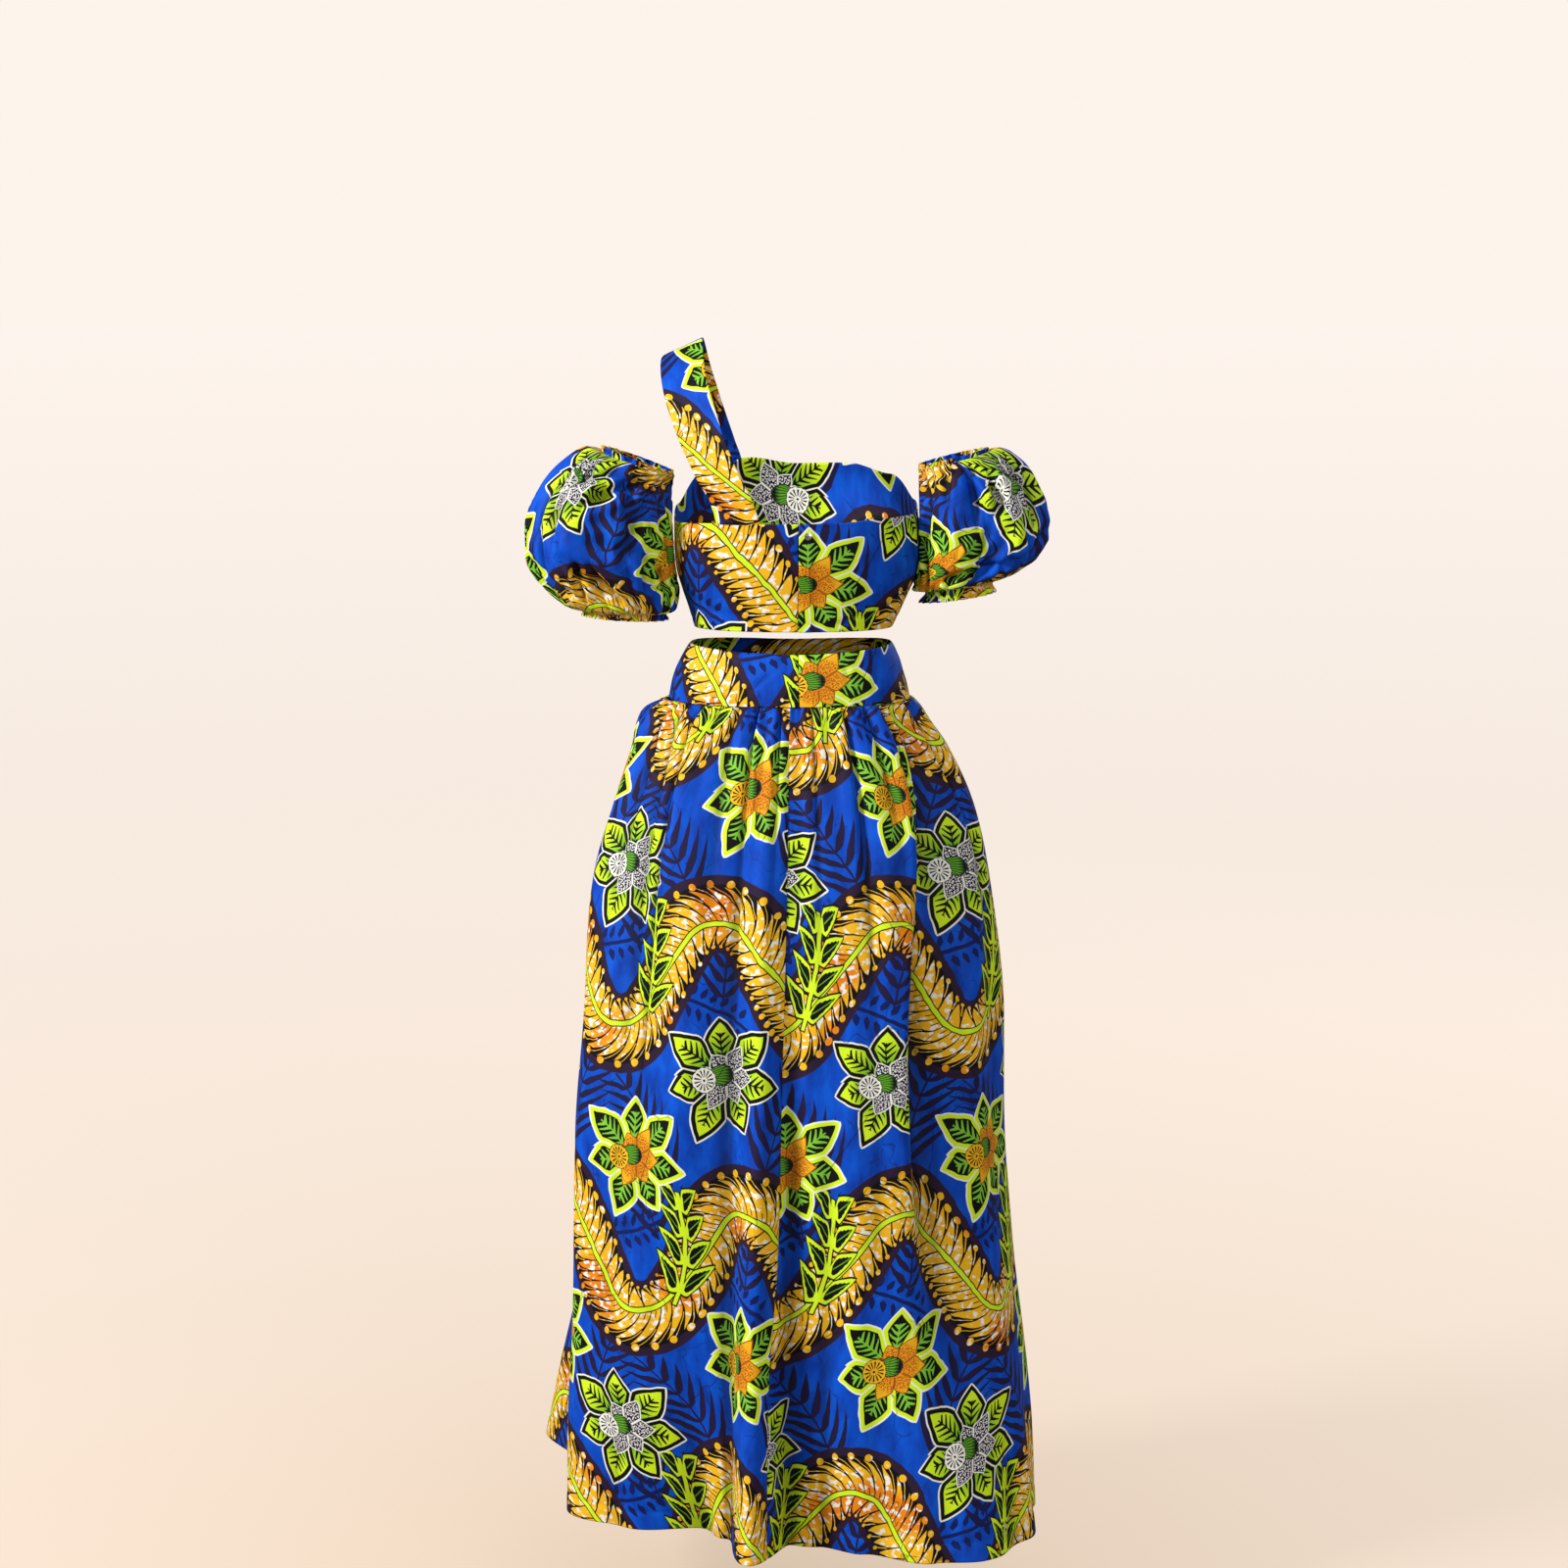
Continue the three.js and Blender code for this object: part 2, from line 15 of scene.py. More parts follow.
import bpy
import numpy as np
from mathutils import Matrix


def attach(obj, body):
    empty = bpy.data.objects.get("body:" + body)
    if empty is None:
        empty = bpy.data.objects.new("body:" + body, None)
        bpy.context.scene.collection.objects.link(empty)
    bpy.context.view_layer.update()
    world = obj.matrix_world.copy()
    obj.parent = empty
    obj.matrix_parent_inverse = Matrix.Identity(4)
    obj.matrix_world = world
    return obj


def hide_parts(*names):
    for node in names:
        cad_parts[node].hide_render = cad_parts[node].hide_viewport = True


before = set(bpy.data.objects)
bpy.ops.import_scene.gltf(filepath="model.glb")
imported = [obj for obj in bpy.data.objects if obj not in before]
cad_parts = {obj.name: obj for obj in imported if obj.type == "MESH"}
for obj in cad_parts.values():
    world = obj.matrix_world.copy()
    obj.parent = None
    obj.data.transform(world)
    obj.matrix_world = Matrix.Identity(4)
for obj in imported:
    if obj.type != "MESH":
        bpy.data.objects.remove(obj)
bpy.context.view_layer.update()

LOG = logging.getLogger("dress")

MM = 0.001
DEGREE = math.pi / 180
SHOULDER = np.array([125.0, -6.0, 1432.0])  # the part's origin, in the wearer's frame
CLOTH_THICKNESS = 0.7 * MM
SEAM_GAP = 0.3  # mm between the skirt's top row and the waistband
BAKE_MARGIN = 0.01  # left free at each side of a piece's own texture
NOISE_LATTICE = 64  # cells along each side of a noise pattern
PUFF_LEVEL = 0.6  # the part of a puff's height that lies below the plain cloth
CREASE_TAPER = 0.7  # below 1 for creases that stay deep nearly to their ends
CREASE_SHOULDER = 0.35  # height of the soft shoulders beside a crease, for its depth
CREASE_SHOULDER_OFF = 1.9  # where they stand, in the crease's widths
FULL_TURN = 2 * math.pi
FLOAT_SOCKET = "NodeSocketFloat"
COLOUR_SOCKET = "NodeSocketColor"


# ------------------------------------------------------------------------------ tables of sizes
@dataclass(frozen=True)
class SizeTable:
    """A short table of sizes with named columns, read smoothly between its rows.

    Attributes:
        columns: the columns' names; the first is the one that the rows are ordered by.
        rows: one tuple of numbers for each row.
    """

    columns: tuple[str, ...]
    rows: tuple[tuple[float, ...], ...]

    def column(self, name: str) -> np.ndarray:
        """All the values of one column."""
        return np.array([row[self.columns.index(name)] for row in self.rows], float)

    def smooth(self, name: str, at: np.ndarray, by: str = "") -> np.ndarray:
        """Reads a column at places between the rows.

        Args:
            name: the column to read.
            at: where to read it, in the units of the ordering column.
            by: the ordering column; the first if empty, and the row's number if "row".

        Returns:
            The values, on a curve that has no kink at any row.
        """
        if by == "row":
            knots = np.arange(len(self.rows), dtype=float)
        else:
            knots = self.column(by or self.columns[0])
        return hermite(knots, self.column(name), at)

    def around(self, name: str, angle: np.ndarray) -> np.ndarray:
        """Reads a column of a table that goes once round, ordered by degrees."""
        return around_ring(self.column(self.columns[0]), self.column(name), angle)


def hermite(knots: np.ndarray, values: np.ndarray, at: np.ndarray) -> np.ndarray:
    """A smooth curve through values at rising knots.

    Args:
        knots: where the values stand.
        values: the values there.
        at: where to read the curve; held at its ends outside the knots.

    Returns:
        The curve's values.
    """
    where = np.clip(np.asarray(at, float), knots[0], knots[-1])
    low = np.clip(np.searchsorted(knots, where, side="left") - 1, 0, len(knots) - 2)
    slopes = np.gradient(values, knots, edge_order=1)
    slopes[1:-1] = (values[2:] - values[:-2]) / (knots[2:] - knots[:-2])
    span = knots[low + 1] - knots[low]
    share = (where - knots[low]) / span
    rise = share * share * (3 - 2 * share)
    return (
        values[low] * (1 - rise)
        + values[low + 1] * rise
        + span * slopes[low] * share * (1 - share) ** 2
        - span * slopes[low + 1] * share * share * (1 - share)
    )


def ring_cell(
    knots: np.ndarray, angle: np.ndarray
) -> tuple[np.ndarray, np.ndarray, np.ndarray]:
    """Finds the two knots of a ring that each angle lies between.

    Args:
        knots: rising angles in degrees, less than 360 apart in all.
        angle: the angles to find.

    Returns:
        The numbers of the knots before and after, and the share of the way between them.
    """
    turn = np.mod(angle - knots[0], 360.0)
    low = np.clip(np.searchsorted(knots - knots[0], turn, side="right") - 1, 0, len(knots) - 1)
    high = (low + 1) % len(knots)
    span = np.mod(knots[high] - knots[low], 360.0)
    return low, high, (turn - (knots[low] - knots[0])) / span


def around_ring(knots: np.ndarray, values: np.ndarray, angle: np.ndarray) -> np.ndarray:
    """A value between knots that go once round, level at each knot.

    Args:
        knots: rising angles in degrees, less than 360 apart in all.
        values: the values there.
        angle: where to read them.

    Returns:
        The values, eased between each two knots.
    """
    low, high, share = ring_cell(knots, angle)
    rise = (1 - np.cos(math.pi * share)) / 2
    return values[low] * (1 - rise) + values[high] * rise


def smoothstep(value: np.ndarray, low: float, high: float) -> np.ndarray:
    """0 below low, 1 above high, eased between them."""
    share = np.clip((value - low) / (high - low), 0, 1)
    return share * share * (3 - 2 * share)


# Half-widths to the wearer's left and right and depths to the back and front, by height.
SECTION_COLUMNS = ("z", "left", "right", "back", "front")
BODICE_SECTIONS = SizeTable(
    SECTION_COLUMNS,
    (
        (1125, 113, 108, 84, 86), (1145, 119, 118, 86, 92), (1165, 126, 127, 89, 99),
        (1190, 133, 137, 94, 110), (1220, 135, 139, 99, 121), (1250, 135, 136, 102, 127),
        (1280, 134, 135, 103, 125), (1312, 133, 134, 102, 117),
    ),
)
WAISTBAND_SECTIONS = SizeTable(
    SECTION_COLUMNS,
    (
        (1045, 141, 127, 104, 100), (1062, 138, 123.5, 101, 97), (1075, 134, 119.5, 97, 94),
        (1090, 127, 115, 92, 90), (1108, 117, 106.5, 86, 86),
    ),
)
SKIRT_SECTIONS = SizeTable(
    SECTION_COLUMNS,
    (
        (120, 280, 280, 210, 205), (225, 275, 274, 207, 201), (316, 266, 264, 203, 197),
        (440, 257, 247, 197, 191), (565, 252, 235, 190, 184), (723, 236, 230, 178, 171),
        (852, 222, 212, 162, 156), (929, 200, 194, 147, 141), (990, 179, 166, 129, 123),
        (1018, 172, 147, 118, 112), (1035, 162, 136, 109, 104), (1045, 141, 127, 104, 100),
    ),
)
BODY_SQUARENESS = 2.3
SKIRT_SQUARENESS = 2.15
BODICE_HEM = 1125.0
WAISTBAND_TOP = 1104.0
WAISTBAND_BOTTOM = 1045.0
WAISTBAND_DIP = 3.0
SKIRT_HEM = 120.0
SIDE_SEAM = 90.0
CENTRE_BACK = -1.8
SLEEVE_CLEARANCE = 1.3

# Height of the bodice's top edge, by angle.
NECKLINE = SizeTable(
    ("at", "z"),
    (
        (0, 1244), (40, 1244), (80, 1242), (105, 1258), (132, 1294), (155, 1306), (180, 1299),
        (208, 1300), (232, 1289), (256, 1263), (278, 1252), (310, 1249), (335, 1245),
    ),
)

# The strap's middle line over the shoulder, and how far its outer edge lies from that line.
STRAP_PATH = SizeTable(
    ("x", "y", "z", "out", "forward", "down"),
    (
        (64, 93, 1246, 24.5, 8, 0), (76, 96, 1277, 24.5, 9, 0), (88, 94, 1301, 24.7, 10, 0),
        (101.5, 87, 1332, 25, 10, 1), (110, 77, 1356, 24.7, 9, 3), (119.5, 58, 1386, 24.2, 7, 6),
        (124.5, 37, 1410, 23.6, 4, 9), (126, 15, 1427.5, 23, 1, 10.5),
        (125, -6, 1433.4, 22, 0, 10.5), (123, -27, 1427, 22, -2, 10), (118, -48, 1407, 22, -6, 7),
        (109, -67, 1378, 22.3, -9, 4), (99, -84, 1348, 22.5, -9, 1), (91, -97, 1325, 22.5, -9, 0),
        (85, -103, 1305, 22.5, -9, 0),
    ),
)

# The skirt's large folds, in mm out from the plain section at five heights. Each stands at the
# angle `at` below the hip and leans over to the angle `top` at the waistband.
FOLD_HEIGHTS = np.array([120.0, 430.0, 640.0, 850.0, 1045.0])
FOLD_COLUMNS = ("hem", "knee", "thigh", "hip", "waist")
SKIRT_FOLDS = SizeTable(
    ("at", "top", "waist", "hip", "thigh", "knee", "hem"),
    (
        (-162, -160, 3, 13, 19, 25, 24), (-140, -141, -3, -12, -17, -22, -38),
        (-116, -122, 3, 10, 14, 18, 24), (-97, -107, -2, -3, -5, -6, -12),
        (-76, -90, 2, 6, 6, 4, 2), (-58, -75, 4, 14, 14, 12, 46),
        (-43, -60, -5, -28, -30, -6, 66), (-33, -46, 4, 10, 14, 18, 46),
        (-20, -27, 2, 5, 8, 10, 0), (-8, -10, -3, -2, -4, -12, -30),
        (2, 1, -3, -8, -14, -22, -34), (12, 13, 3, 5, 8, 16, 34), (26, 30, -3, -9, -12, -24, -46),
        (40, 47, 4, 9, 8, -12, -72), (57, 65, -4, -12, -10, -12, -32), (72, 80, 4, 9, 8, 2, -10),
        (90, 95, -2, -4, -8, -18, -30), (108, 107, 1, 2, -8, -14, -10),
        (128, 122, 2, 8, 22, 56, 120), (147, 142, -3, -13, -20, -20, -4),
        (165, 162, 3, 9, 12, 15, 34), (181, 180, -2, -8, -10, -11, -16),
    ),
)
# Where the skirt's centre-back seam runs, in degrees, by height.
SKIRT_SEAM = SizeTable(
    ("z", "at"),
    ((120, 8), (330, 7.6), (450, 5.6), (640, 4.6), (850, 3.3), (1045, 3.3)),
)
# The pinched valleys between the skirt's gathers: where each is, how deep, how far down it goes.
WAIST_PINCHES = SizeTable(
    ("at", "depth", "length"),
    (
        (-86, 6, 70), (-72, 9, 150), (-59, 5, 60), (-51, 10, 260), (-42, 7, 90), (-30, 10, 170),
        (-20, 4.5, 50), (-12.5, 8, 120), (-4, 4, 45), (5.5, 8, 110), (12, 4.5, 55), (19, 9, 190),
        (30.5, 8, 120), (38, 4.5, 50), (49, 10, 220), (58, 5, 65), (67, 9, 140), (80, 7, 90),
        (93, 8, 150), (106, 5, 60), (117, 9, 170), (131, 7, 80), (141, 9, 200), (153, 5, 60),
        (163, 9, 150), (176, 7, 100), (187, 9, 190), (198, 5, 55), (208, 9, 150), (221, 7, 90),
        (230, 9, 210), (243, 5, 60), (255, 8, 140), (264, 6, 70),
    ),
)

# Each sleeve from its top frill down to its bottom frill: the ring's centre out from the centre
# plane, its height, its half-widths, how far its outer side is raised in degrees, and the share
# of the broad folds and of the crumples there.
SLEEVE_COLUMNS = ("x", "z", "rx", "ry", "tilt", "fold")
LEFT_SLEEVE = SizeTable(
    SLEEVE_COLUMNS,
    (
        (173, 1310, 42, 43, 20, 0), (175, 1303, 42.5, 43.5, 20, 0), (183, 1307, 52, 57, 18, 0.3),
        (200, 1291, 63, 74, 11, 0.8), (211, 1263, 74, 84, 4, 1), (216, 1232, 80, 87, 0, 1),
        (214, 1199, 80, 84, -2, 1), (204, 1170, 70, 73, -3, 0.8), (196, 1147, 61, 63, 2, 0.3),
        (191, 1140, 47, 48, 2, 0), (190, 1134, 46, 47, 3, 0),
    ),
)
RIGHT_SLEEVE = SizeTable(
    SLEEVE_COLUMNS,
    (
        (173, 1313, 39, 41, 14, 0), (175, 1306, 39.5, 41.5, 14, 0), (181, 1310, 46, 54, 15, 0.3),
        (194, 1296, 56, 70, 9, 0.8), (203, 1266, 64, 80, 3, 1), (206, 1234, 70, 83, 0, 1),
        (201, 1204, 68, 79, 2, 1), (192, 1184, 62, 69, 7, 0.8), (185, 1173, 52, 56, 9, 0.3),
        (182, 1168, 38, 39.5, 9, 0), (180, 1157, 41.5, 43, 8, 0),
    ),
)
SLEEVE_FOLDS = SizeTable(
    ("at", "depth"),
    (
        (0, 2.5), (34, -3.5), (62, 3), (88, -4), (121, 3.5), (150, -2), (178, 1.5), (207, -2.5),
        (236, 3.5), (262, -4), (297, 3), (328, -3),
    ),
)
SLEEVE_DEPTH_CENTRE = 4.0

# The deepest folds of each sleeve, listed one by one: degrees about the arm and place down the
# sleeve where each starts and ends, its width and its depth in mm.
LAID_COLUMNS = ("from_turn", "from_place", "to_turn", "to_place", "width", "depth")
LEFT_FOLDS = SizeTable(
    LAID_COLUMNS,
    (
        (128, 0.16, 62, 0.40, 8.0, 8.0), (104, 0.14, 30, 0.30, 7.0, 6.5),
        (140, 0.20, 112, 0.58, 7.5, 7.0), (72, 0.52, 140, 0.62, 9.0, 4.5),
        (98, 0.86, 58, 0.58, 7.0, 7.0), (122, 0.86, 128, 0.60, 6.5, 6.0),
        (60, 0.84, 22, 0.62, 7.0, 6.0),
    ),
)
RIGHT_FOLDS = SizeTable(
    LAID_COLUMNS,
    (
        (124, 0.80, 36, 0.66, 7.0, 9.0), (118, 0.15, 134, 0.50, 7.0, 6.5),
        (92, 0.15, 66, 0.36, 7.0, 7.0), (60, 0.18, 20, 0.34, 7.0, 6.0),
        (150, 0.24, 150, 0.60, 7.0, 5.5), (40, 0.66, 10, 0.50, 8.0, 6.0),
    ),
)


# ------------------------------------------------------------------------- the body's surfaces
def reach(
    sections: SizeTable, squareness: float, angle: np.ndarray, z: np.ndarray
) -> np.ndarray:
    """Distance from the axis to the edge of a section.

    Args:
        sections: half-widths and depths by height.
        squareness: exponent of the section's superellipse.
        angle: degrees from the centre back.
        z: height.

    Returns:
        The distances, in mm.
    """
    side = np.sin(angle * DEGREE)
    depth = np.cos(angle * DEGREE)
    width = np.where(side > 0, sections.smooth("left", z), sections.smooth("right", z))
    length = np.where(depth > 0, sections.smooth("back", z), sections.smooth("front", z))
    total = np.abs(side / width) ** squareness + np.abs(depth / length) ** squareness
    return total ** (-1 / squareness)


def around(angle: np.ndarray, distance: np.ndarray, z: np.ndarray) -> np.ndarray:
    """Points at angles from the centre back, at distances from the axis."""
    x = distance * np.sin(angle * DEGREE)
    y = distance * np.cos(angle * DEGREE)
    return np.stack(np.broadcast_arrays(x, y, z), axis=-1).astype(float)


def body_point(angle: np.ndarray, z: np.ndarray) -> np.ndarray:
    """Points of the bodice's outer side."""
    return around(angle, reach(BODICE_SECTIONS, BODY_SQUARENESS, angle, z), z)


def smooth_noise(
    across: np.ndarray,
    up: np.ndarray,
    size: tuple[float, float],
    seed: int,
    period: int = NOISE_LATTICE,
) -> np.ndarray:
    """Soft random bumps over a cloth.

    Args:
        across: coordinate along one way of the cloth.
        up: coordinate along the other way.
        size: how far apart the bumps stand each way, in the same units.
        seed: picks the pattern.
        period: after how many bumps across it starts again.

    Returns:
        Values between about -1 and 1, for the two coordinates together.
    """
    lattice = np.random.default_rng(seed).uniform(-1, 1, (NOISE_LATTICE, NOISE_LATTICE))
    a, b = across / size[0], up / size[1]
    i, j = np.floor(a).astype(int), np.floor(b).astype(int)
    s, t = smoothstep(a - i, 0, 1), smoothstep(b - j, 0, 1)

    def corner(right: int, above: int) -> np.ndarray:
        """The lattice's value at one corner of each point's cell."""
        return lattice[np.mod(i + right, period), np.mod(j + above, NOISE_LATTICE)]

    low = corner(0, 0) * (1 - s) + corner(1, 0) * s
    high = corner(0, 1) * (1 - s) + corner(1, 1) * s
    return low * (1 - t) + high * t


# ----------------------------------------------------------------------------- relief of cloth
@dataclass(frozen=True)
class Billow:
    """Soft uneven waves over a cloth.

    Attributes:
        depth: mm out and in.
        spacing: mm between two waves, across and up.
        seed: picks the pattern.
        lean: mm across by which the waves move for each mm up.
    """

    depth: float
    spacing: tuple[float, float]
    seed: int
    lean: float = 0.0

    def over(self, across: np.ndarray, up: np.ndarray) -> np.ndarray:
        """How far the cloth stands out at places in mm across and up."""
        return self.depth * smooth_noise(across + self.lean * up, up, self.spacing, self.seed)


@dataclass(frozen=True)
class Stitching:
    """A sewn or folded line that draws the cloth in.

    Attributes:
        depth: mm by which the cloth lies lower on the line.
        width: mm to each side over which it comes up again.
    """

    depth: float
    width: float

    def dip(self, off: np.ndarray) -> np.ndarray:
        """How much lower the cloth lies at mm from the line."""
        return self.depth * np.exp(-((off / self.width) ** 2))


@dataclass(frozen=True)
class Crease:
    """A soft trough or ridge laid on a cloth, in mm along it.

    Attributes:
        start: where it starts, across and up.
        end: where it ends.
        width: how wide it is.
        depth: how deep at its middle; a ridge is negative.
    """

    start: tuple[float, float]
    end: tuple[float, float]
    width: float
    depth: float

    def sunk(self, across: np.ndarray, up: np.ndarray) -> np.ndarray:
        """How deep the cloth is pressed in, tapering away at both ends of the crease.

        Args:
            across: mm across the cloth.
            up: mm up the cloth.

        Returns:
            The depths in mm, below 0 on the soft shoulders beside the crease.
        """
        start, end = np.array(self.start), np.array(self.end)
        run = end - start
        length = float(np.hypot(*run))
        along = ((across - start[0]) * run[0] + (up - start[1]) * run[1]) / length**2
        off = ((across - start[0]) * run[1] - (up - start[1]) * run[0]) / length
        taper = np.sin(math.pi * np.clip(along, 0, 1)) ** CREASE_TAPER
        trough = np.exp(-((off / self.width) ** 2))
        beside = (np.abs(off) - CREASE_SHOULDER_OFF * self.width) / self.width
        return self.depth * taper * (trough - CREASE_SHOULDER * np.exp(-(beside**2)))


def puff(share: np.ndarray, sharpness: "np.ndarray | float") -> np.ndarray:
    """A puff of cloth between two pinches, about its own level.

    Args:
        share: from 0 at one pinch to 1 at the next.
        sharpness: below 1 for a full puff between narrow pinches.

    Returns:
        Its height, as a share of the pinches' depth.
    """
    return np.sin(math.pi * share) ** sharpness - PUFF_LEVEL


# --------------------------------------------------------------------------------- cloth grids
@dataclass
class ClothGrid:
    """A cut piece of cloth as a grid of points, columns by rows, in the wearer's frame.

    Attributes:
        points: the outer side's points, in mm.
        closed: whether the last column is the first one again.
        outward: +1 where columns crossed with rows point out of the cloth, otherwise -1.
    """

    points: np.ndarray
    closed: bool = False
    outward: float = -1.0

    def normals(self) -> np.ndarray:
        """The outward direction at each point."""
        points = self.points
        if self.closed:
            padded = np.concatenate([points[-2:-1], points, points[1:2]])
            across = (padded[2:] - padded[:-2]) / 2
        else:
            across = np.gradient(points, axis=0)
        up = np.gradient(points, axis=1)
        normal = np.cross(across, up) * self.outward
        return normal / np.linalg.norm(normal, axis=-1, keepdims=True)

    def raise_by(self, height: np.ndarray) -> None:
        """Moves each point out of the cloth by a height in mm."""
        self.points = self.points + self.normals() * height[..., None]

    def across(self) -> np.ndarray:
        """Length along each row from the first column, in mm."""
        steps = np.linalg.norm(np.diff(self.points, axis=0), axis=-1)
        return np.concatenate([np.zeros((1, steps.shape[1])), np.cumsum(steps, axis=0)])

    def from_edges(self) -> np.ndarray:
        """Length along each row to the nearer of the first and last columns, in mm."""
        across = self.across()
        return np.minimum(across, across[-1] - across)

    def up(self) -> np.ndarray:
        """Length up the piece from its first row, in mm, the mean over its columns."""
        steps = np.linalg.norm(np.diff(self.points, axis=1), axis=-1).mean(axis=0)
        lengths = np.concatenate([[0.0], np.cumsum(steps)])
        return np.broadcast_to(lengths, self.points.shape[:2])

    def valleys(self, around: float = 12.0, full: float = 2.4) -> np.ndarray:
        """How deep each point lies in a fold.

        Args:
            around: mm to both sides over which the cloth is levelled out.
            full: mm below that level that count as a whole valley.

        Returns:
            A share from 0 on open cloth to 1 in a deep valley, which sets how much painted shade
            darkens the cloth's colour there.
        """
        columns = len(self.points)
        step = float(self.across()[-1].mean()) / (columns - 1)
        half = max(1, round(around / step))
        fill = "wrap" if self.closed else "edge"
        level = self.points[:-1] if self.closed else self.points
        for _ in range(2):
            padded = np.pad(level, ((half, half), (0, 0), (0, 0)), mode=fill)
            total = np.cumsum(np.concatenate([np.zeros_like(padded[:1]), padded]), axis=0)
            level = (total[2 * half + 1 :] - total[: -2 * half - 1]) / (2 * half + 1)
        if self.closed:
            level = np.concatenate([level, level[:1]])
        depth = ((level - self.points) * self.normals()).sum(axis=-1)
        return np.clip(depth / full, 0.0, 1.0)

    def crease(self, creases: tuple[Crease, ...], across: np.ndarray | None = None) -> None:
        """Presses creases into the cloth.

        Args:
            creases: where they run, in mm across and up the cloth.
            across: each point's mm across, where it isn't the length along its row.
        """
        across = self.across() if across is None else across
        up = self.up()
        height = np.zeros(up.shape)
        for fold in creases:
            height -= fold.sunk(across, up)
        self.raise_by(height)


def spread(low: float, high: float, step: float, fine: float) -> np.ndarray:
    """Evenly spaced places, with closer ones by both ends, which carry a seam.

    Args:
        low: the first place.
        high: the last place.
        step: the usual distance between two.
        fine: the distance between the first few and the last few.

    Returns:
        The places, rising.
    """
    few = np.arange(4)
    start = low + fine * few
    stop = high - fine * few[::-1]
    count = max(int(round((stop[0] - start[-1]) / step)), 1)
    middle = np.linspace(start[-1], stop[0], count + 1)[1:-1]
    return np.concatenate([start, middle, stop])


def quad_mesh(name: str, vertices: np.ndarray, faces: np.ndarray) -> bpy.types.Mesh:
    """Makes a smooth mesh of four-sided faces.

    Args:
        name: the mesh's name.
        vertices: its points in metres, one a row.
        faces: the numbers of each face's four corners, one face a row.

    Returns:
        The mesh.
    """
    mesh = bpy.data.meshes.new(name)
    mesh.vertices.add(len(vertices))
    mesh.vertices.foreach_set("co", vertices.ravel())
    mesh.loops.add(faces.size)
    mesh.loops.foreach_set("vertex_index", faces.ravel())
    mesh.polygons.add(len(faces))
    mesh.polygons.foreach_set("loop_start", np.arange(0, faces.size, faces.shape[1]))
    mesh.polygons.foreach_set("use_smooth", np.ones(len(faces), bool))
    mesh.update(calc_edges=True)
    return mesh


def build_cloth(
    name: str, grid: ClothGrid, cloth_uv: np.ndarray, material: bpy.types.Material
) -> bpy.types.Object:
    """Makes a piece of cloth from its grid, with a real thickness.

    Args:
        name: the piece's name.
        grid: the outer side's points.
        cloth_uv: where each point lies on the printed cloth, in metres.
        material: the cloth's finish.

    Returns:
        The piece, at the origin, with its place in its mesh.
    """
    columns, rows = grid.points.shape[:2]
    rings = columns - 1 if grid.closed else columns
    vertices = ((grid.points[:rings] - SHOULDER) * MM).reshape(-1, 3)
    i, j = np.meshgrid(np.arange(columns - 1), np.arange(rows - 1), indexing="ij")
    i, j = i.ravel(), j.ravel()
    corners = [(i, j), (i + 1, j), (i + 1, j + 1), (i, j + 1)]
    if grid.outward < 0:
        corners.reverse()
    faces = np.stack([(a % rings) * rows + b for a, b in corners], axis=-1)
    mesh = quad_mesh(name, vertices, faces)
    inner = 1 - 2 * BAKE_MARGIN
    share_across = grid.across() / grid.across().max(axis=0)
    share_up = grid.up() / grid.up().max()
    bake_uv = np.stack(
        [BAKE_MARGIN + inner * share_across, BAKE_MARGIN + inner * share_up], axis=-1
    )
    for layer_name, uv in (("Cloth", cloth_uv), ("OFBake", bake_uv)):
        layer = mesh.uv_layers.new(name=layer_name)
        corner_uv = np.stack([uv[a, b] for a, b in corners], axis=1)
        layer.data.foreach_set("uv", corner_uv.ravel())
    # The fold depth at each point, kept for the shade painted into the cloth's colour in its
    # folds.
    valley = mesh.attributes.new("ValleyPaintedShade", "FLOAT", "POINT")
    valley.data.foreach_set("value", grid.valleys()[:rings].ravel())
    mesh.validate()
    mesh.materials.append(material)
    piece = bpy.data.objects.new(name, mesh)
    bpy.context.scene.collection.objects.link(piece)
    wall = piece.modifiers.new("Thickness", "SOLIDIFY")
    wall.thickness = CLOTH_THICKNESS
    wall.offset = -1
    wall.use_even_offset = False
    return piece


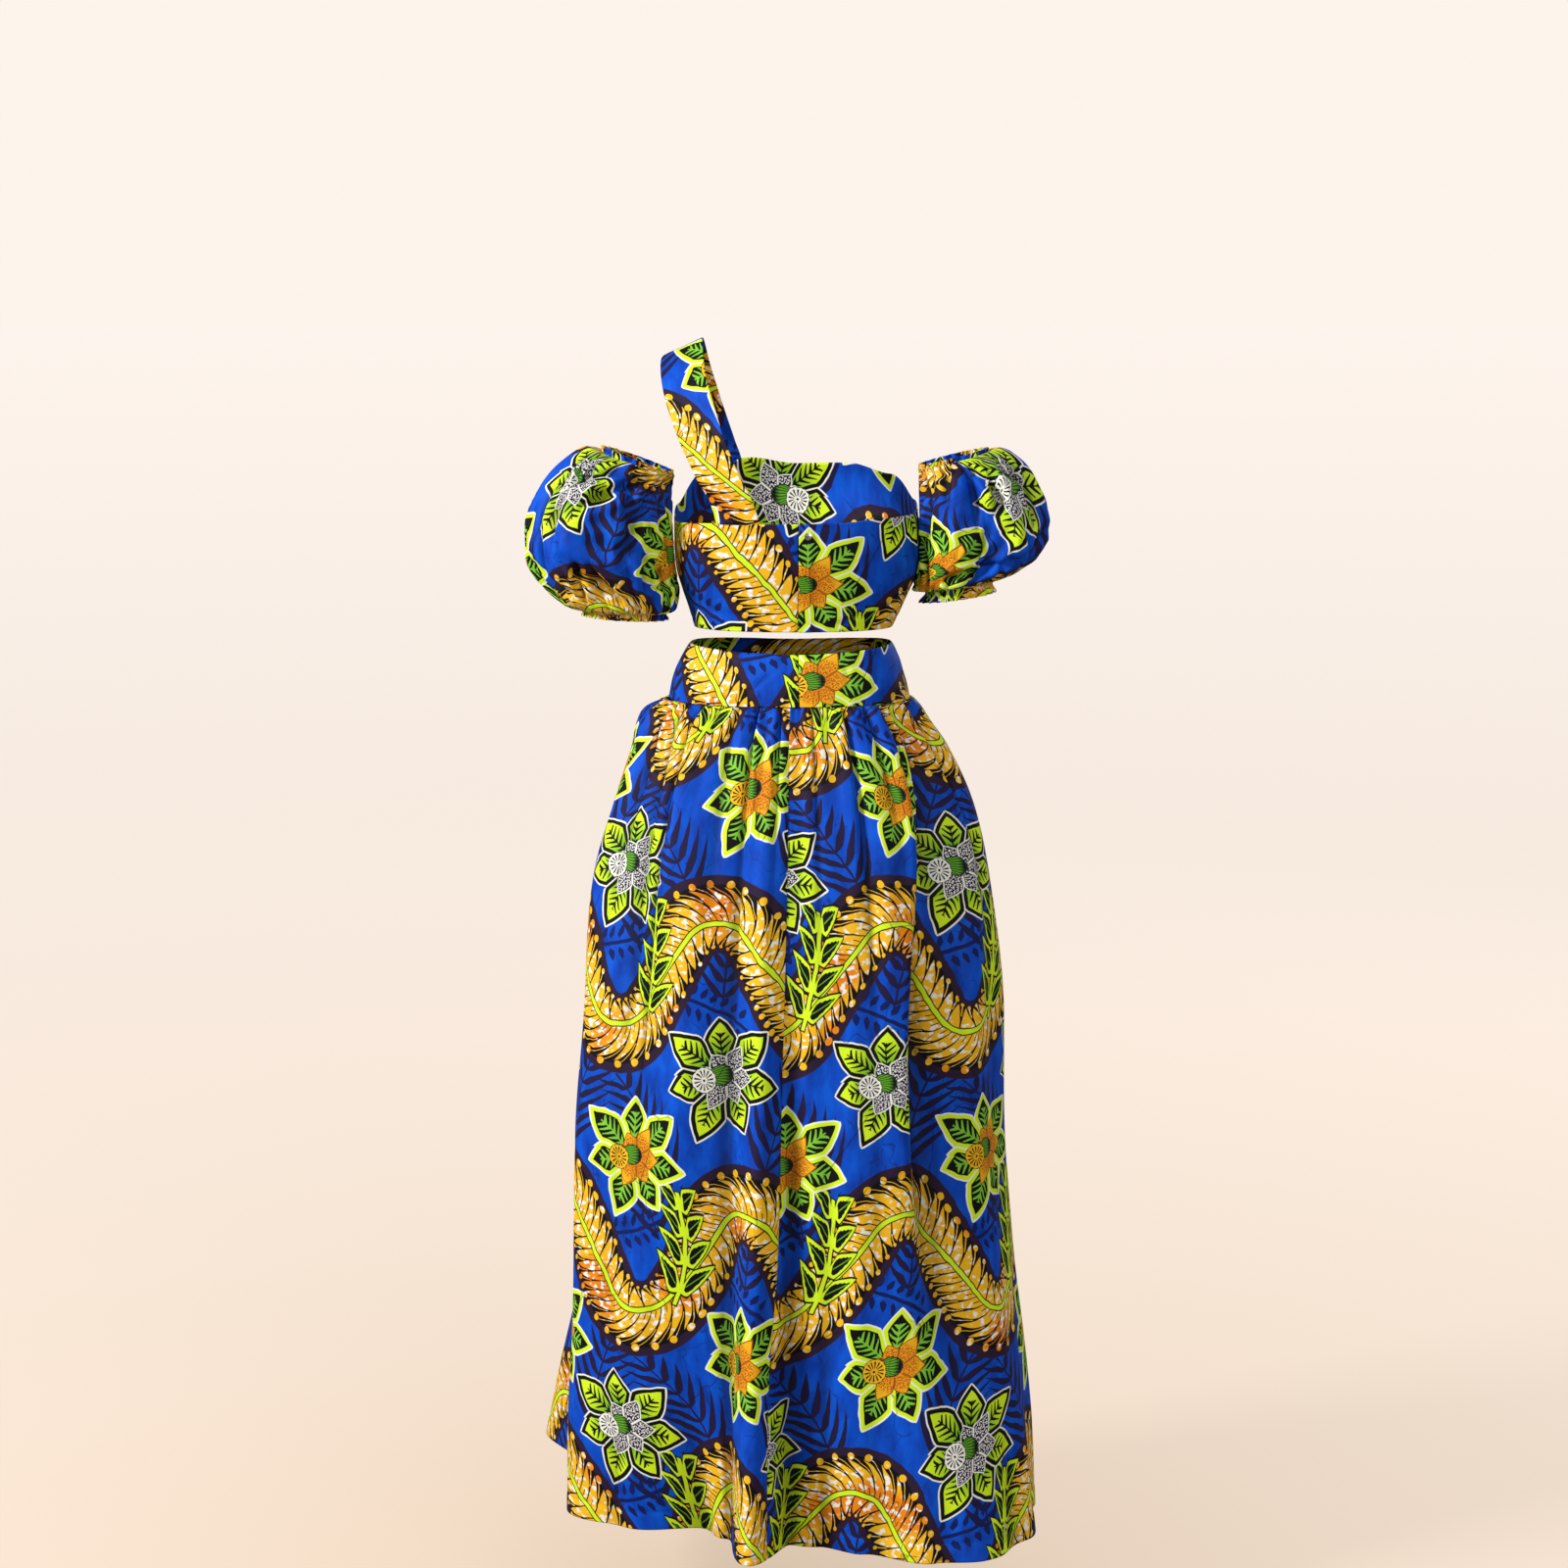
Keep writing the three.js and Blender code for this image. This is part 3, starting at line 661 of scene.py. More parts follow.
# ------------------------------------------------------------------------------- shader fields
class Field:
    """A number that varies over the cloth: the output of a shader node.

    Arithmetic on fields adds Math nodes to the tree that the field belongs to.
    """

    def __init__(self, socket: bpy.types.NodeSocket) -> None:
        """Wraps a node's output socket."""
        self.socket = socket

    def apply(self, operation: str, *others: "Field | float", clamp: bool = False) -> "Field":
        """Adds a Math node.

        Args:
            operation: the node's operation.
            others: its second and third inputs.
            clamp: whether the result is held between 0 and 1.

        Returns:
            The node's output.
        """
        tree = self.socket.id_data
        node = tree.nodes.new("ShaderNodeMath")
        node.operation = operation
        node.use_clamp = clamp
        for slot, value in zip(node.inputs, (self, *others)):
            fill_slot(tree, slot, value)
        return Field(node.outputs[0])

    def __add__(self, other: "Field | float") -> "Field":
        """Sum."""
        return self.apply("ADD", other)

    def __sub__(self, other: "Field | float") -> "Field":
        """Difference."""
        return self.apply("SUBTRACT", other)

    def __mul__(self, other: "Field | float") -> "Field":
        """Product."""
        return self.apply("MULTIPLY", other)

    def __truediv__(self, other: "Field | float") -> "Field":
        """Quotient."""
        return self.apply("DIVIDE", other)

    def __rsub__(self, other: float) -> "Field":
        """A number less the field."""
        return self.apply("MULTIPLY_ADD", -1.0, other)

    def __abs__(self) -> "Field":
        """Size without sign."""
        return self.apply("ABSOLUTE")

    def least(self, other: "Field | float") -> "Field":
        """The smaller of the two."""
        return self.apply("MINIMUM", other)

    def most(self, other: "Field | float") -> "Field":
        """The larger of the two."""
        return self.apply("MAXIMUM", other)

    def held(self) -> "Field":
        """The field, held between 0 and 1."""
        return self.apply("MULTIPLY", 1.0, clamp=True)

    def off_beat(self) -> "Field":
        """Distance from the middle of each whole step, from 0 to a half."""
        return abs(self.apply("FRACT") - 0.5)

    def mask(self, softness: float = 0.0006) -> "Field":
        """1 where the field is above 0, 0 where it is below, with a soft edge between."""
        return self.apply("MULTIPLY_ADD", 1 / softness, 0.5, clamp=True)

    def mix(self, low: "Field | float", high: "Field | float") -> "Field":
        """low where the field is 0, high where it is 1."""
        tree = self.socket.id_data
        node = tree.nodes.new("ShaderNodeMix")
        for slot, value in ((0, self), (2, low), (3, high)):
            fill_slot(tree, node.inputs[slot], value)
        return Field(node.outputs[0])


def fill_slot(tree: bpy.types.NodeTree, slot: bpy.types.NodeSocket, value: object) -> None:
    """Feeds a node's input from a field, a socket, an ink or a plain value."""
    if isinstance(value, Field):
        value = value.socket
    if isinstance(value, bpy.types.NodeSocket):
        tree.links.new(value, slot)
    else:
        slot.default_value = value.value if isinstance(value, Ink) else value


def length_of(x: Field, y: Field) -> Field:
    """Distance from the origin of a plane."""
    return (x * x + y * y).apply("SQRT")


def mix_colours(
    tree: bpy.types.NodeTree,
    share: "Field | float",
    low: object,
    high: object,
    blend: str = "MIX",
) -> bpy.types.NodeSocket:
    """Mixes two colours.

    Args:
        tree: the node tree that they are in.
        share: how much there is of the second one.
        low: the first colour, as an ink, a socket or four numbers.
        high: the second colour.
        blend: the way of mixing.

    Returns:
        The mixed colour's socket.
    """
    node = tree.nodes.new("ShaderNodeMix")
    node.data_type = "RGBA"
    node.blend_type = blend
    for slot, value in ((0, share), (6, low), (7, high)):
        fill_slot(tree, node.inputs[slot], value)
    return node.outputs[2]


def linear(red: int, green: int, blue: int) -> tuple[float, float, float, float]:
    """A display colour of 0 to 255 as the linear colour that a shader takes."""
    share = np.array([red, green, blue]) / 255
    light = np.where(share <= 0.04045, share / 12.92, ((share + 0.055) / 1.055) ** 2.4)
    return (*light.tolist(), 1.0)


class Ink(Enum):
    """The colours of the print."""

    GROUND = linear(0, 73, 194)
    GROUND_LIGHT = linear(0, 92, 220)
    GROUND_DEEP = linear(0, 52, 150)
    FROND = linear(32, 24, 64)
    HALO = linear(44, 26, 52)
    SHADE = linear(12, 28, 92)
    LINE = linear(10, 8, 16)
    GOLD = linear(255, 194, 30)
    AMBER = linear(240, 138, 16)
    RUST = linear(170, 78, 10)
    WHITE = linear(255, 252, 240)
    LIME = linear(220, 252, 38)
    LEAF = linear(112, 184, 32)
    VEIN = linear(132, 206, 56)
    BUD = linear(48, 96, 36)
    PETAL = linear(236, 150, 24)


class Painter:
    """Lays inks over one another, each through a mask."""

    def __init__(self, tree: bpy.types.NodeTree, ground: Ink) -> None:
        """Starts from a ground colour."""
        self.tree = tree
        self.colour = ground

    def lay(self, mask: Field, ink: "bpy.types.NodeSocket | Ink") -> None:
        """Puts an ink on top where the mask is 1."""
        self.colour = mix_colours(self.tree, mask, self.colour, ink)


class EffectGroup:
    """A shader node group with named inputs and outputs, built once and placed many times."""

    name = "effect"
    inputs: tuple[tuple[str, float], ...] = ()
    outputs: tuple[tuple[str, str], ...] = ()

    def __init__(self) -> None:
        """Builds the group's sockets and fills it."""
        self.tree = bpy.data.node_groups.new(self.name, "ShaderNodeTree")
        sockets = self.tree.interface
        for label, default in self.inputs:
            socket = sockets.new_socket(label, in_out="INPUT", socket_type=FLOAT_SOCKET)
            socket.default_value = default
        for label, kind in self.outputs:
            sockets.new_socket(label, in_out="OUTPUT", socket_type=kind)
        self.source = self.tree.nodes.new("NodeGroupInput")
        self.sink = self.tree.nodes.new("NodeGroupOutput")
        self.fill()

    def fill(self) -> None:
        """Adds the group's nodes."""
        raise NotImplementedError

    def given(self, label: str) -> Field:
        """One of the group's inputs."""
        return Field(self.source.outputs[label])

    def give(self, label: str, value: "Field | bpy.types.NodeSocket") -> None:
        """Sets one of the group's outputs."""
        fill_slot(self.tree, self.sink.inputs[label], value)

    def place(self, tree: bpy.types.NodeTree, **values: "Field | float") -> bpy.types.Node:
        """Adds the group to another tree.

        Args:
            tree: the tree it goes in.
            values: its inputs by name.

        Returns:
            The group's node.
        """
        node = tree.nodes.new("ShaderNodeGroup")
        node.node_tree = self.tree
        for label, value in values.items():
            fill_slot(tree, node.inputs[label], value)
        return node

    def texture(self, kind: str, across: Field, up: Field, scale: float) -> bpy.types.Node:
        """Adds a flat texture to the group.

        Args:
            kind: the texture node's type.
            across: metres across, where it is read.
            up: metres up, where it is read.
            scale: its features in each metre.

        Returns:
            The texture's node.
        """
        node = self.tree.nodes.new(kind)
        node.inputs["Scale"].default_value = scale
        spot = self.tree.nodes.new("ShaderNodeCombineXYZ")
        self.tree.links.new(across.socket, spot.inputs[0])
        self.tree.links.new(up.socket, spot.inputs[1])
        self.tree.links.new(spot.outputs[0], node.inputs["Vector"])
        return node


class BarbRow(EffectGroup):
    """Barbs, leaflets or drops side by side along a stem, leaning back from it."""

    name = "barb_row"
    inputs = (
        ("Count", 0.0),
        ("Off", 0.0),
        ("Pitch", 0.01),
        ("Reach", 0.04),
        ("Lean", 0.8),
        ("Curl", 0.0),
        ("Fullness", 0.9),
        ("Root", 1.0),
        ("Tip", 2.5),
    )
    outputs = (
        ("Edge", FLOAT_SOCKET),
        ("Rib", FLOAT_SOCKET),
        ("Share", FLOAT_SOCKET),
        ("Phase", FLOAT_SOCKET),
    )
    root_growth = 3.2  # how fast a barb widens from its root, in widths over its length

    def fill(self) -> None:
        """Works out how far each point lies inside its barb's edge, in metres."""
        off = abs(self.given("Off"))
        pitch = self.given("Pitch")
        share = off / self.given("Reach")
        shift = off * (self.given("Lean") + self.given("Curl") * off)
        phase = self.given("Count") + shift / pitch
        aside = phase.off_beat()
        root = share.apply("MULTIPLY_ADD", self.root_growth, self.given("Root"), clamp=True)
        taper = 1.0 - share.least(1.0).apply("POWER", self.given("Tip"))
        half = self.given("Fullness") * root * taper * 0.5
        slope = self.given("Lean") + self.given("Curl") * off * 2.0
        straight = (slope * slope + 1.0).apply("INVERSE_SQRT") * pitch
        beyond = (off - self.given("Reach")).most(0.0)
        self.give("Edge", (half - aside) * straight - beyond)
        self.give("Rib", aside * straight)
        self.give("Share", share)
        self.give("Phase", phase)


@dataclass(frozen=True)
class PetalRing:
    """A ring of pointed petals round a flower, in metres."""

    count: int
    turn: float
    unevenness: float
    start: float
    reach: float
    width: float


class Blossom(EffectGroup):
    """A flower with pointed outer petals, a corolla, a bud and a seed disc, in metres."""

    name = "blossom"
    inputs = (("Across", 0.0), ("Up", 0.0), ("Pale", 0.0))
    outputs = (("Colour", COLOUR_SOCKET), ("Mask", FLOAT_SOCKET))
    outer = PetalRing(7, 0.21, 0.1, 0.004, 0.071, 0.0200)
    corolla = PetalRing(6, 0.0, 0.16, -0.002, 0.034, 0.0115)
    petal_gap = 0.0008
    middle_radius = 0.02
    outline = 0.0018
    band = 0.0042  # width of the bright band inside an outer petal's edge
    vein_pitch = 0.0072
    vein_half = 0.0013
    vein_thinning = 0.14  # how much thinner a side vein gets for each metre beside its rib
    corolla_at = (0.003, -0.001)
    corolla_middle = 0.010
    seeds_per_metre = 480.0
    bud_at = (-0.003, 0.001)
    bud_half = (0.0125, 0.0100)
    disc_at = (-0.0215, -0.004)
    disc_radius = 0.0130
    disc_spokes = 14

    def petal(self, x: Field, y: Field, ring: PetalRing) -> tuple[Field, Field, Field]:
        """Splits the plane into petals.

        Args:
            x: across from the ring's middle.
            y: up from it.
            ring: the petals.

        Returns:
            How far out along its petal's axis a point lies, how far beside it, and how far out
            that petal reaches.
        """
        radius = length_of(x, y)
        phase = y.apply("ARCTAN2", x) * (ring.count / FULL_TURN) + ring.turn
        cell = (phase + 0.5).apply("FLOOR")
        angle = (phase - cell) * (FULL_TURN / ring.count)
        out = radius * angle.apply("COSINE")
        beside = abs(radius * angle.apply("SINE"))
        longer = (cell * 2.4).apply("SINE") * ring.unevenness + 1.0
        return out, beside, longer * ring.reach

    def lens(self, out: Field, beside: Field, reach: Field, ring: PetalRing) -> Field:
        """How far inside a pointed petal's edge a point lies.

        Args:
            out: distance along the petal's axis.
            beside: distance beside it.
            reach: where the petal ends.
            ring: the ring that the petal is in.

        Returns:
            The distance in metres, below 0 outside.
        """
        rounding, pointing, to_full_width = 0.8, 1.05, 3.62
        share = ((out - ring.start) / (reach - ring.start)).held()
        tip = (1.0 - share).apply("POWER", pointing)
        lobe = share.apply("POWER", rounding) * tip * to_full_width
        beyond = (out - reach).most(0.0)
        upright = (1.0 - share * share * 0.3) * (lobe * ring.width - beside)
        half = math.pi / ring.count
        gap = (out * math.tan(half) - beside) * math.cos(half) - self.petal_gap
        return (upright - beyond).least(gap)

    def fill(self) -> None:
        """Draws the flower from its outer petals inwards."""
        x, y, pale = self.given("Across"), self.given("Up"), self.given("Pale")
        warm = 1.0 - pale
        out, beside, reach = self.petal(x, y, self.outer)
        edge = self.lens(out, beside, reach, self.outer)
        heart = (edge - self.band).mask()
        flower = Painter(self.tree, Ink.WHITE)
        flower.lay(edge.mask(), Ink.LIME)
        flower.lay(edge.mask() * pale, Ink.LINE)
        flower.lay(heart * warm, Ink.LINE)
        green = Painter(self.tree, Ink.LEAF)
        green.lay(((out - 0.022) * 36.0).held(), Ink.LIME)
        flower.lay(heart * pale, green.colour)
        veins = self.veins(out, beside).least(edge - self.band - 0.0016)
        veins = veins.least(reach * 0.74 - out).mask(0.0007)
        flower.lay(veins * warm * (edge - 0.001).mask(), Ink.VEIN)
        flower.lay(veins * pale, Ink.LINE)
        self.draw_corolla(flower, x, y, pale)
        self.draw_bud(flower, x, y)
        self.draw_disc(flower, x, y, pale)
        self.give("Colour", flower.colour)
        middle = self.middle_radius - length_of(x, y)
        self.give("Mask", (edge + self.outline).most(middle).mask())

    def veins(self, out: Field, beside: Field) -> Field:
        """How far inside an outer petal's rib or side veins a point lies, in metres."""
        across_vein = ((out - beside * 0.8) / self.vein_pitch).off_beat() * self.vein_pitch
        side_vein = across_vein - beside * self.vein_thinning - self.vein_half
        return side_vein.most(0.0008 - beside)

    def draw_corolla(self, flower: Painter, x: Field, y: Field, pale: Field) -> None:
        """Draws the speckled inner petals.

        Args:
            flower: what they are painted on.
            x: metres across from the flower's middle.
            y: metres up from it.
            pale: 1 for a white flower, 0 for an orange one.
        """
        warm = 1.0 - pale
        at_x, at_y = x - self.corolla_at[0], y - self.corolla_at[1]
        out, beside, reach = self.petal(at_x, at_y, self.corolla)
        edge = self.lens(out, beside, reach, self.corolla)
        edge = edge.most(self.corolla_middle - length_of(at_x, at_y))
        rim = (edge + 0.0009).mask()
        flower.lay(rim * warm, Ink.RUST)
        flower.lay(rim * pale, Ink.WHITE)
        orange = Painter(self.tree, Ink.PETAL)
        orange.lay(((out - 0.014) * 45.0).held(), Ink.GOLD)
        inside = (edge - 0.0004).mask()
        flower.lay(inside * warm, orange.colour)
        flower.lay(inside * pale, Ink.FROND)
        seeds = self.texture("ShaderNodeTexVoronoi", x, y, self.seeds_per_metre)
        seeds.voronoi_dimensions = "2D"
        speck = (0.34 - Field(seeds.outputs["Distance"])).mask(0.2) * (edge - 0.0012).mask()
        flower.lay(speck * warm * (0.026 - out).mask(0.004), Ink.RUST)
        flower.lay(speck * pale, Ink.WHITE)

    def draw_bud(self, flower: Painter, x: Field, y: Field) -> None:
        """Draws the striped bud over the corolla's middle.

        Args:
            flower: what it is painted on.
            x: metres across from the flower's middle.
            y: metres up from it.
        """
        at_x, at_y = x - self.bud_at[0], y - self.bud_at[1]
        bud = 1.0 - length_of(at_x / self.bud_half[0], at_y / self.bud_half[1])
        stripe = ((at_y / (at_x + 0.024) * 9.0).off_beat() - 0.27).mask(0.15)
        whole = bud.mask(0.06)
        flower.lay((bud + 0.12).mask(0.06), Ink.LINE)
        flower.lay(whole, Ink.BUD)
        flower.lay(whole * stripe, Ink.LEAF)
        flower.lay(whole * ((at_x - 0.0035) * 160.0).held(), Ink.LINE)

    def draw_disc(self, flower: Painter, x: Field, y: Field, pale: Field) -> None:
        """Draws the slotted seed disc beside the bud.

        Args:
            flower: what it is painted on.
            x: metres across from the flower's middle.
            y: metres up from it.
            pale: 1 for a white flower, 0 for an orange one.
        """
        at_x, at_y = x - self.disc_at[0], y - self.disc_at[1]
        radius = length_of(at_x, at_y)
        spokes = (at_y.apply("ARCTAN2", at_x) * (self.disc_spokes / FULL_TURN)).off_beat()
        slots = (0.0038 - abs(radius - 0.0074)).mask() * (0.21 - spokes).mask(0.1)
        disc = (spokes * 0.0016 + self.disc_radius - radius).mask()
        flower.lay((self.disc_radius + 0.0012 - radius).mask(), Ink.LINE)
        flower.lay(disc * (1.0 - pale), Ink.GOLD)
        flower.lay(disc * pale, Ink.WHITE)
        flower.lay(slots, Ink.LINE)
        flower.lay((0.0014 - radius).mask(), Ink.LINE)


@dataclass(frozen=True)
class Spray:
    """A stem with leaves on both sides, printed once in every repeat.

    Attributes:
        across: where it is rooted, metres from the crest of the plume.
        up: and metres up from the plume's middle line.
        turn: degrees that it leans from upright, clockwise.
        length: the stem's length in metres.
        reach: the leaves' length.
        pitch: the distance between two leaves on one side.
        bend: how much the stem curves.
    """

    across: float
    up: float
    turn: float
    length: float
    reach: float
    pitch: float
    bend: float


@dataclass(frozen=True)
class PrintLayout:
    """The repeat of the print and where its motifs stand, in metres."""

    width: float = 0.28
    height: float = 0.315
    shift: float = 0.03
    curve_radius: float = 0.046
    rise: float = 0.122
    barbs: int = 27
    bunching: float = 0.26
    barb_lean: float = 0.35
    barb_curl: float = 7.0
    blossoms: tuple[tuple[float, float], ...] = ((0.002, -0.108), (0.136, 0.112))
    fronds: tuple[Spray, ...] = (
        Spray(0.058, -0.215, 14, 0.150, 0.066, 0.0190, 1.3),
        Spray(-0.060, -0.232, -24, 0.140, 0.062, 0.0185, -1.5),
        Spray(0.004, -0.030, 4, 0.075, 0.046, 0.0170, 1.0),
        Spray(-0.118, 0.020, -12, 0.100, 0.050, 0.0180, 1.6),
    )
    drop_rows: tuple[Spray, ...] = (
        Spray(-0.040, -0.022, 106, 0.082, 0.019, 0.0125, 2.0),
        Spray(0.100, 0.020, 80, 0.070, 0.019, 0.0125, -2.0),
    )
    lime_sprays: tuple[Spray, ...] = (Spray(-0.098, -0.052, 14, 0.128, 0.039, 0.0320, -1.2),)


class WaxPrint(EffectGroup):
    """The printed design: a meander of golden plumes with flowers, leaves and dark fronds."""

    name = "wax_print"
    inputs = (("Across", 0.0), ("Up", 0.0))
    outputs = (("Colour", COLOUR_SOCKET),)
    drift = 0.016  # metres by which motifs stray across from their exact places
    lift = 0.012  # and up
    tremble_size = 0.003  # and by which their outlines waver
    frond_stem = 0.0012  # half-widths of the stems
    twig_stem = 0.0021
    spray_stem = 0.0022
    plume_stem = 0.0025
    drop_stalk = 0.0055  # how far off its twig a drop starts
    sharp = 0.00001  # softness of an edge that only parts two formulas

    def __init__(self, layout: PrintLayout) -> None:
        """Builds the print and the motifs that it is made of."""
        self.layout = layout
        self.barbs = BarbRow()
        self.blossom = Blossom()
        super().__init__()

    def noise(self, scale: float, detail: float = 0.0, stretch: float = 1.0) -> Field:
        """Adds soft noise over the cloth.

        Args:
            scale: its bumps in each metre.
            detail: how many finer layers it has.
            stretch: how much closer its bumps stand across than up.

        Returns:
            The noise, from 0 to 1.
        """
        across = self.given("Across") * stretch
        node = self.texture("ShaderNodeTexNoise", across, self.given("Up"), scale)
        node.noise_dimensions = "2D"
        node.inputs["Detail"].default_value = detail
        return Field(node.outputs[0])

    def repeat(self, across: float, up: float) -> tuple[Field, Field, Field]:
        """Coordinates about a motif's own place in its repeat.

        Args:
            across: the motif's place in the repeat.
            up: and its height there.

        Returns:
            Metres across from the motif, metres up from it, and 1 in every other row.
        """
        size = self.layout
        row = ((self.up - up) / size.height + 0.5).apply("FLOOR")
        odd = abs(row - (row * 0.5).apply("FLOOR") * 2.0)
        y = self.up - up - row * size.height
        x = self.across - across + odd * size.shift
        x = x.apply("WRAP", size.width / 2, -size.width / 2)
        return x, y, odd

    def spray(self, spray: Spray) -> tuple[Field, Field, Field]:
        """Coordinates along a spray's curved stem.

        Args:
            spray: where it is and how it bends.

        Returns:
            Metres along the stem, metres beside it, and how far inside the stem's ends.
        """
        x, y, _ = self.repeat(spray.across, spray.up)
        lean = spray.turn * DEGREE
        along = x * math.sin(lean) + y * math.cos(lean)
        beside = x * math.cos(lean) - y * math.sin(lean)
        beside = beside - along * along * spray.bend
        inside = along.least(spray.length - along)
        return along, beside, inside

    def fill(self) -> None:
        """Lays the motifs over the ground, from the furthest back to the front."""
        sway = self.noise(7.0) - 0.5
        self.tremble = self.noise(48.0, detail=1.0, stretch=1.3) - 0.5
        waver = self.tremble * self.tremble_size
        self.across = self.given("Across") + sway * self.drift + waver
        lift = (self.noise(6.0, stretch=1.4) - 0.5) * self.lift
        self.up = self.given("Up") + lift + waver
        cloth = Painter(self.tree, Ink.GROUND)
        streaks = self.noise(24.0, detail=3.0, stretch=2.2)
        cloth.lay(((streaks - 0.5) * 4.0).held(), Ink.GROUND_LIGHT)
        cloth.lay(((0.47 - streaks) * 4.0).held(), Ink.GROUND_DEEP)
        self.crackle(cloth, scale=20.0, strength=0.5)
        for frond in self.layout.fronds:
            self.frond(cloth, frond)
        for row in self.layout.drop_rows:
            self.drops(cloth, row)
        self.plume(cloth)
        for spray in self.layout.lime_sprays:
            self.lime_spray(cloth, spray)
        for across, up in self.layout.blossoms:
            x, y, odd = self.repeat(across, up)
            node = self.blossom.place(self.tree, Across=x, Up=y, Pale=odd)
            cloth.lay(Field(node.outputs["Mask"]), node.outputs["Colour"])
        self.crackle(cloth, scale=9.0, strength=0.75)
        self.give("Colour", cloth.colour)

    def crackle(self, cloth: Painter, scale: float, strength: float) -> None:
        """Darkens thin, broken lines where the wax resist cracked.

        Args:
            cloth: what they are painted on.
            scale: the cracked cells in each metre.
            strength: how dark the lines are, from 0 to 1.
        """
        across = self.given("Across") + self.tremble * 0.016
        up = self.given("Up") * 0.8 + self.tremble * 0.02
        cells = self.texture("ShaderNodeTexVoronoi", across, up, scale)
        cells.feature = "DISTANCE_TO_EDGE"
        cells.voronoi_dimensions = "2D"
        half_width = 0.00045
        line = (half_width * scale - Field(cells.outputs["Distance"])).mask(0.012)
        broken = (self.noise(scale * 1.3) - 0.53).mask(0.06)
        cloth.lay(line * broken * strength, Ink.LINE)

    def whole_leaves(self, row: bpy.types.Node, spray: Spray) -> Field:
        """How far inside the first and last whole leaf of a row a point lies, in metres."""
        phase = Field(row.outputs["Phase"])
        count = float(int(spray.length / spray.pitch))
        return (phase * -1.0).least(phase + count) * spray.pitch

    def frond(self, cloth: Painter, spray: Spray) -> None:
        """Paints a dark palm frond with slender leaflets.

        Args:
            cloth: what it is painted on.
            spray: where it is, and its sizes.
        """
        along, beside, inside = self.spray(spray)
        taper = (1.0 - along / spray.length).apply("MULTIPLY_ADD", 0.7, 0.4)
        node = self.barbs.place(
            self.tree,
            Count=along / -spray.pitch,
            Off=beside,
            Pitch=spray.pitch,
            Reach=taper * spray.reach,
            Lean=0.7,
            Curl=12.0,
            Fullness=0.72,
            Root=0.22,
            Tip=1.6,
        )
        leaf = Field(node.outputs["Edge"]).least(self.whole_leaves(node, spray))
        stem = (self.frond_stem - abs(beside)).least(inside)
        cloth.lay(leaf.most(stem).mask(), Ink.FROND)

    def drops(self, cloth: Painter, spray: Spray) -> None:
        """Paints a dark twig with hanging drops on both sides.

        Args:
            cloth: what it is painted on.
            spray: where it is, and its sizes.
        """
        along, beside, inside = self.spray(spray)
        node = self.barbs.place(
            self.tree,
            Count=along / -spray.pitch,
            Off=(abs(beside) - self.drop_stalk).most(0.0),
            Pitch=spray.pitch,
            Reach=spray.reach - self.drop_stalk,
            Lean=0.35,
            Curl=0.0,
            Fullness=0.62,
            Root=0.1,
            Tip=3.0,
        )
        drop = Field(node.outputs["Edge"]).least(self.whole_leaves(node, spray))
        drop = drop.least(abs(beside) - 0.005)
        stem = (self.twig_stem - abs(beside)).least(inside)
        cloth.lay(drop.most(stem).mask(), Ink.SHADE)

    def lime_spray(self, cloth: Painter, spray: Spray) -> None:
        """Paints a spray of bright leaves with dark hearts over a dark shade.

        Args:
            cloth: what it is painted on.
            spray: where it is, and its sizes.
        """
        along, beside, inside = self.spray(spray)
        taper = (1.0 - along / spray.length).apply("MULTIPLY_ADD", 0.42, 0.64)
        node = self.barbs.place(
            self.tree,
            Count=along / -spray.pitch,
            Off=beside,
            Pitch=spray.pitch,
            Reach=taper * spray.reach,
            Lean=1.0,
            Curl=2.0,
            Fullness=1.0,
            Root=0.12,
            Tip=1.7,
        )
        leaf = Field(node.outputs["Edge"]).least(self.whole_leaves(node, spray))
        shape = leaf.most((self.spray_stem - abs(beside)).least(inside))
        cloth.lay((shape + 0.0016).mask(), Ink.LINE)
        cloth.lay(shape.mask(), Ink.LIME)
        jagged = (Field(node.outputs["Share"]) * 7.0).off_beat() * 0.0016
        heart = (leaf - 0.0026 - jagged).least(abs(beside) - 0.0052)
        cloth.lay(heart.mask(), Ink.LINE)
        rib = 0.0005 - Field(node.outputs["Rib"])
        cloth.lay((heart - 0.0010).least(rib).mask(), Ink.LEAF)

    def stem_line(self) -> tuple[Field, Field, Field, float]:
        """Follows the plume's meander, arcs of one radius joined by straight flanks.

        Returns:
            Metres along the stem from the crest, metres above it, how much longer a step along
            is at that distance off than on the stem, and the stem's length in one repeat.
        """
        size = self.layout
        half, radius = size.width / 2, size.curve_radius
        lift = size.rise / 2 - radius
        gap = math.hypot(half, 2 * lift)
        fall = math.asin(2 * radius / gap) + math.atan2(2 * lift, half)
        run = (math.cos(fall), -math.sin(fall))
        out = (math.sin(fall), math.cos(fall))
        middle = (half / 2, 0.0)
        flank = math.hypot(middle[0] - radius * out[0], middle[1] - lift - radius * out[1])
        quarter = radius * fall + flank
        x, y, _ = self.repeat(0.0, 0.0)
        side = x.apply("SIGN")
        x = abs(x)
        past = ((x - middle[0]) * run[0] + (y - middle[1]) * run[1]).mask(self.sharp)
        flip = 1.0 - past * 2.0
        near_x = past.mix(x, half - x)
        near_y = y * flip - lift
        along_run = near_x * run[0] + near_y * run[1]
        on_flank = along_run.mask(self.sharp)
        distance = length_of(near_x, near_y)
        stretch = on_flank.mix(distance / radius, 1.0)
        flank_off = near_x * out[0] + near_y * out[1] - radius
        off = on_flank.mix(distance - radius, flank_off) * flip
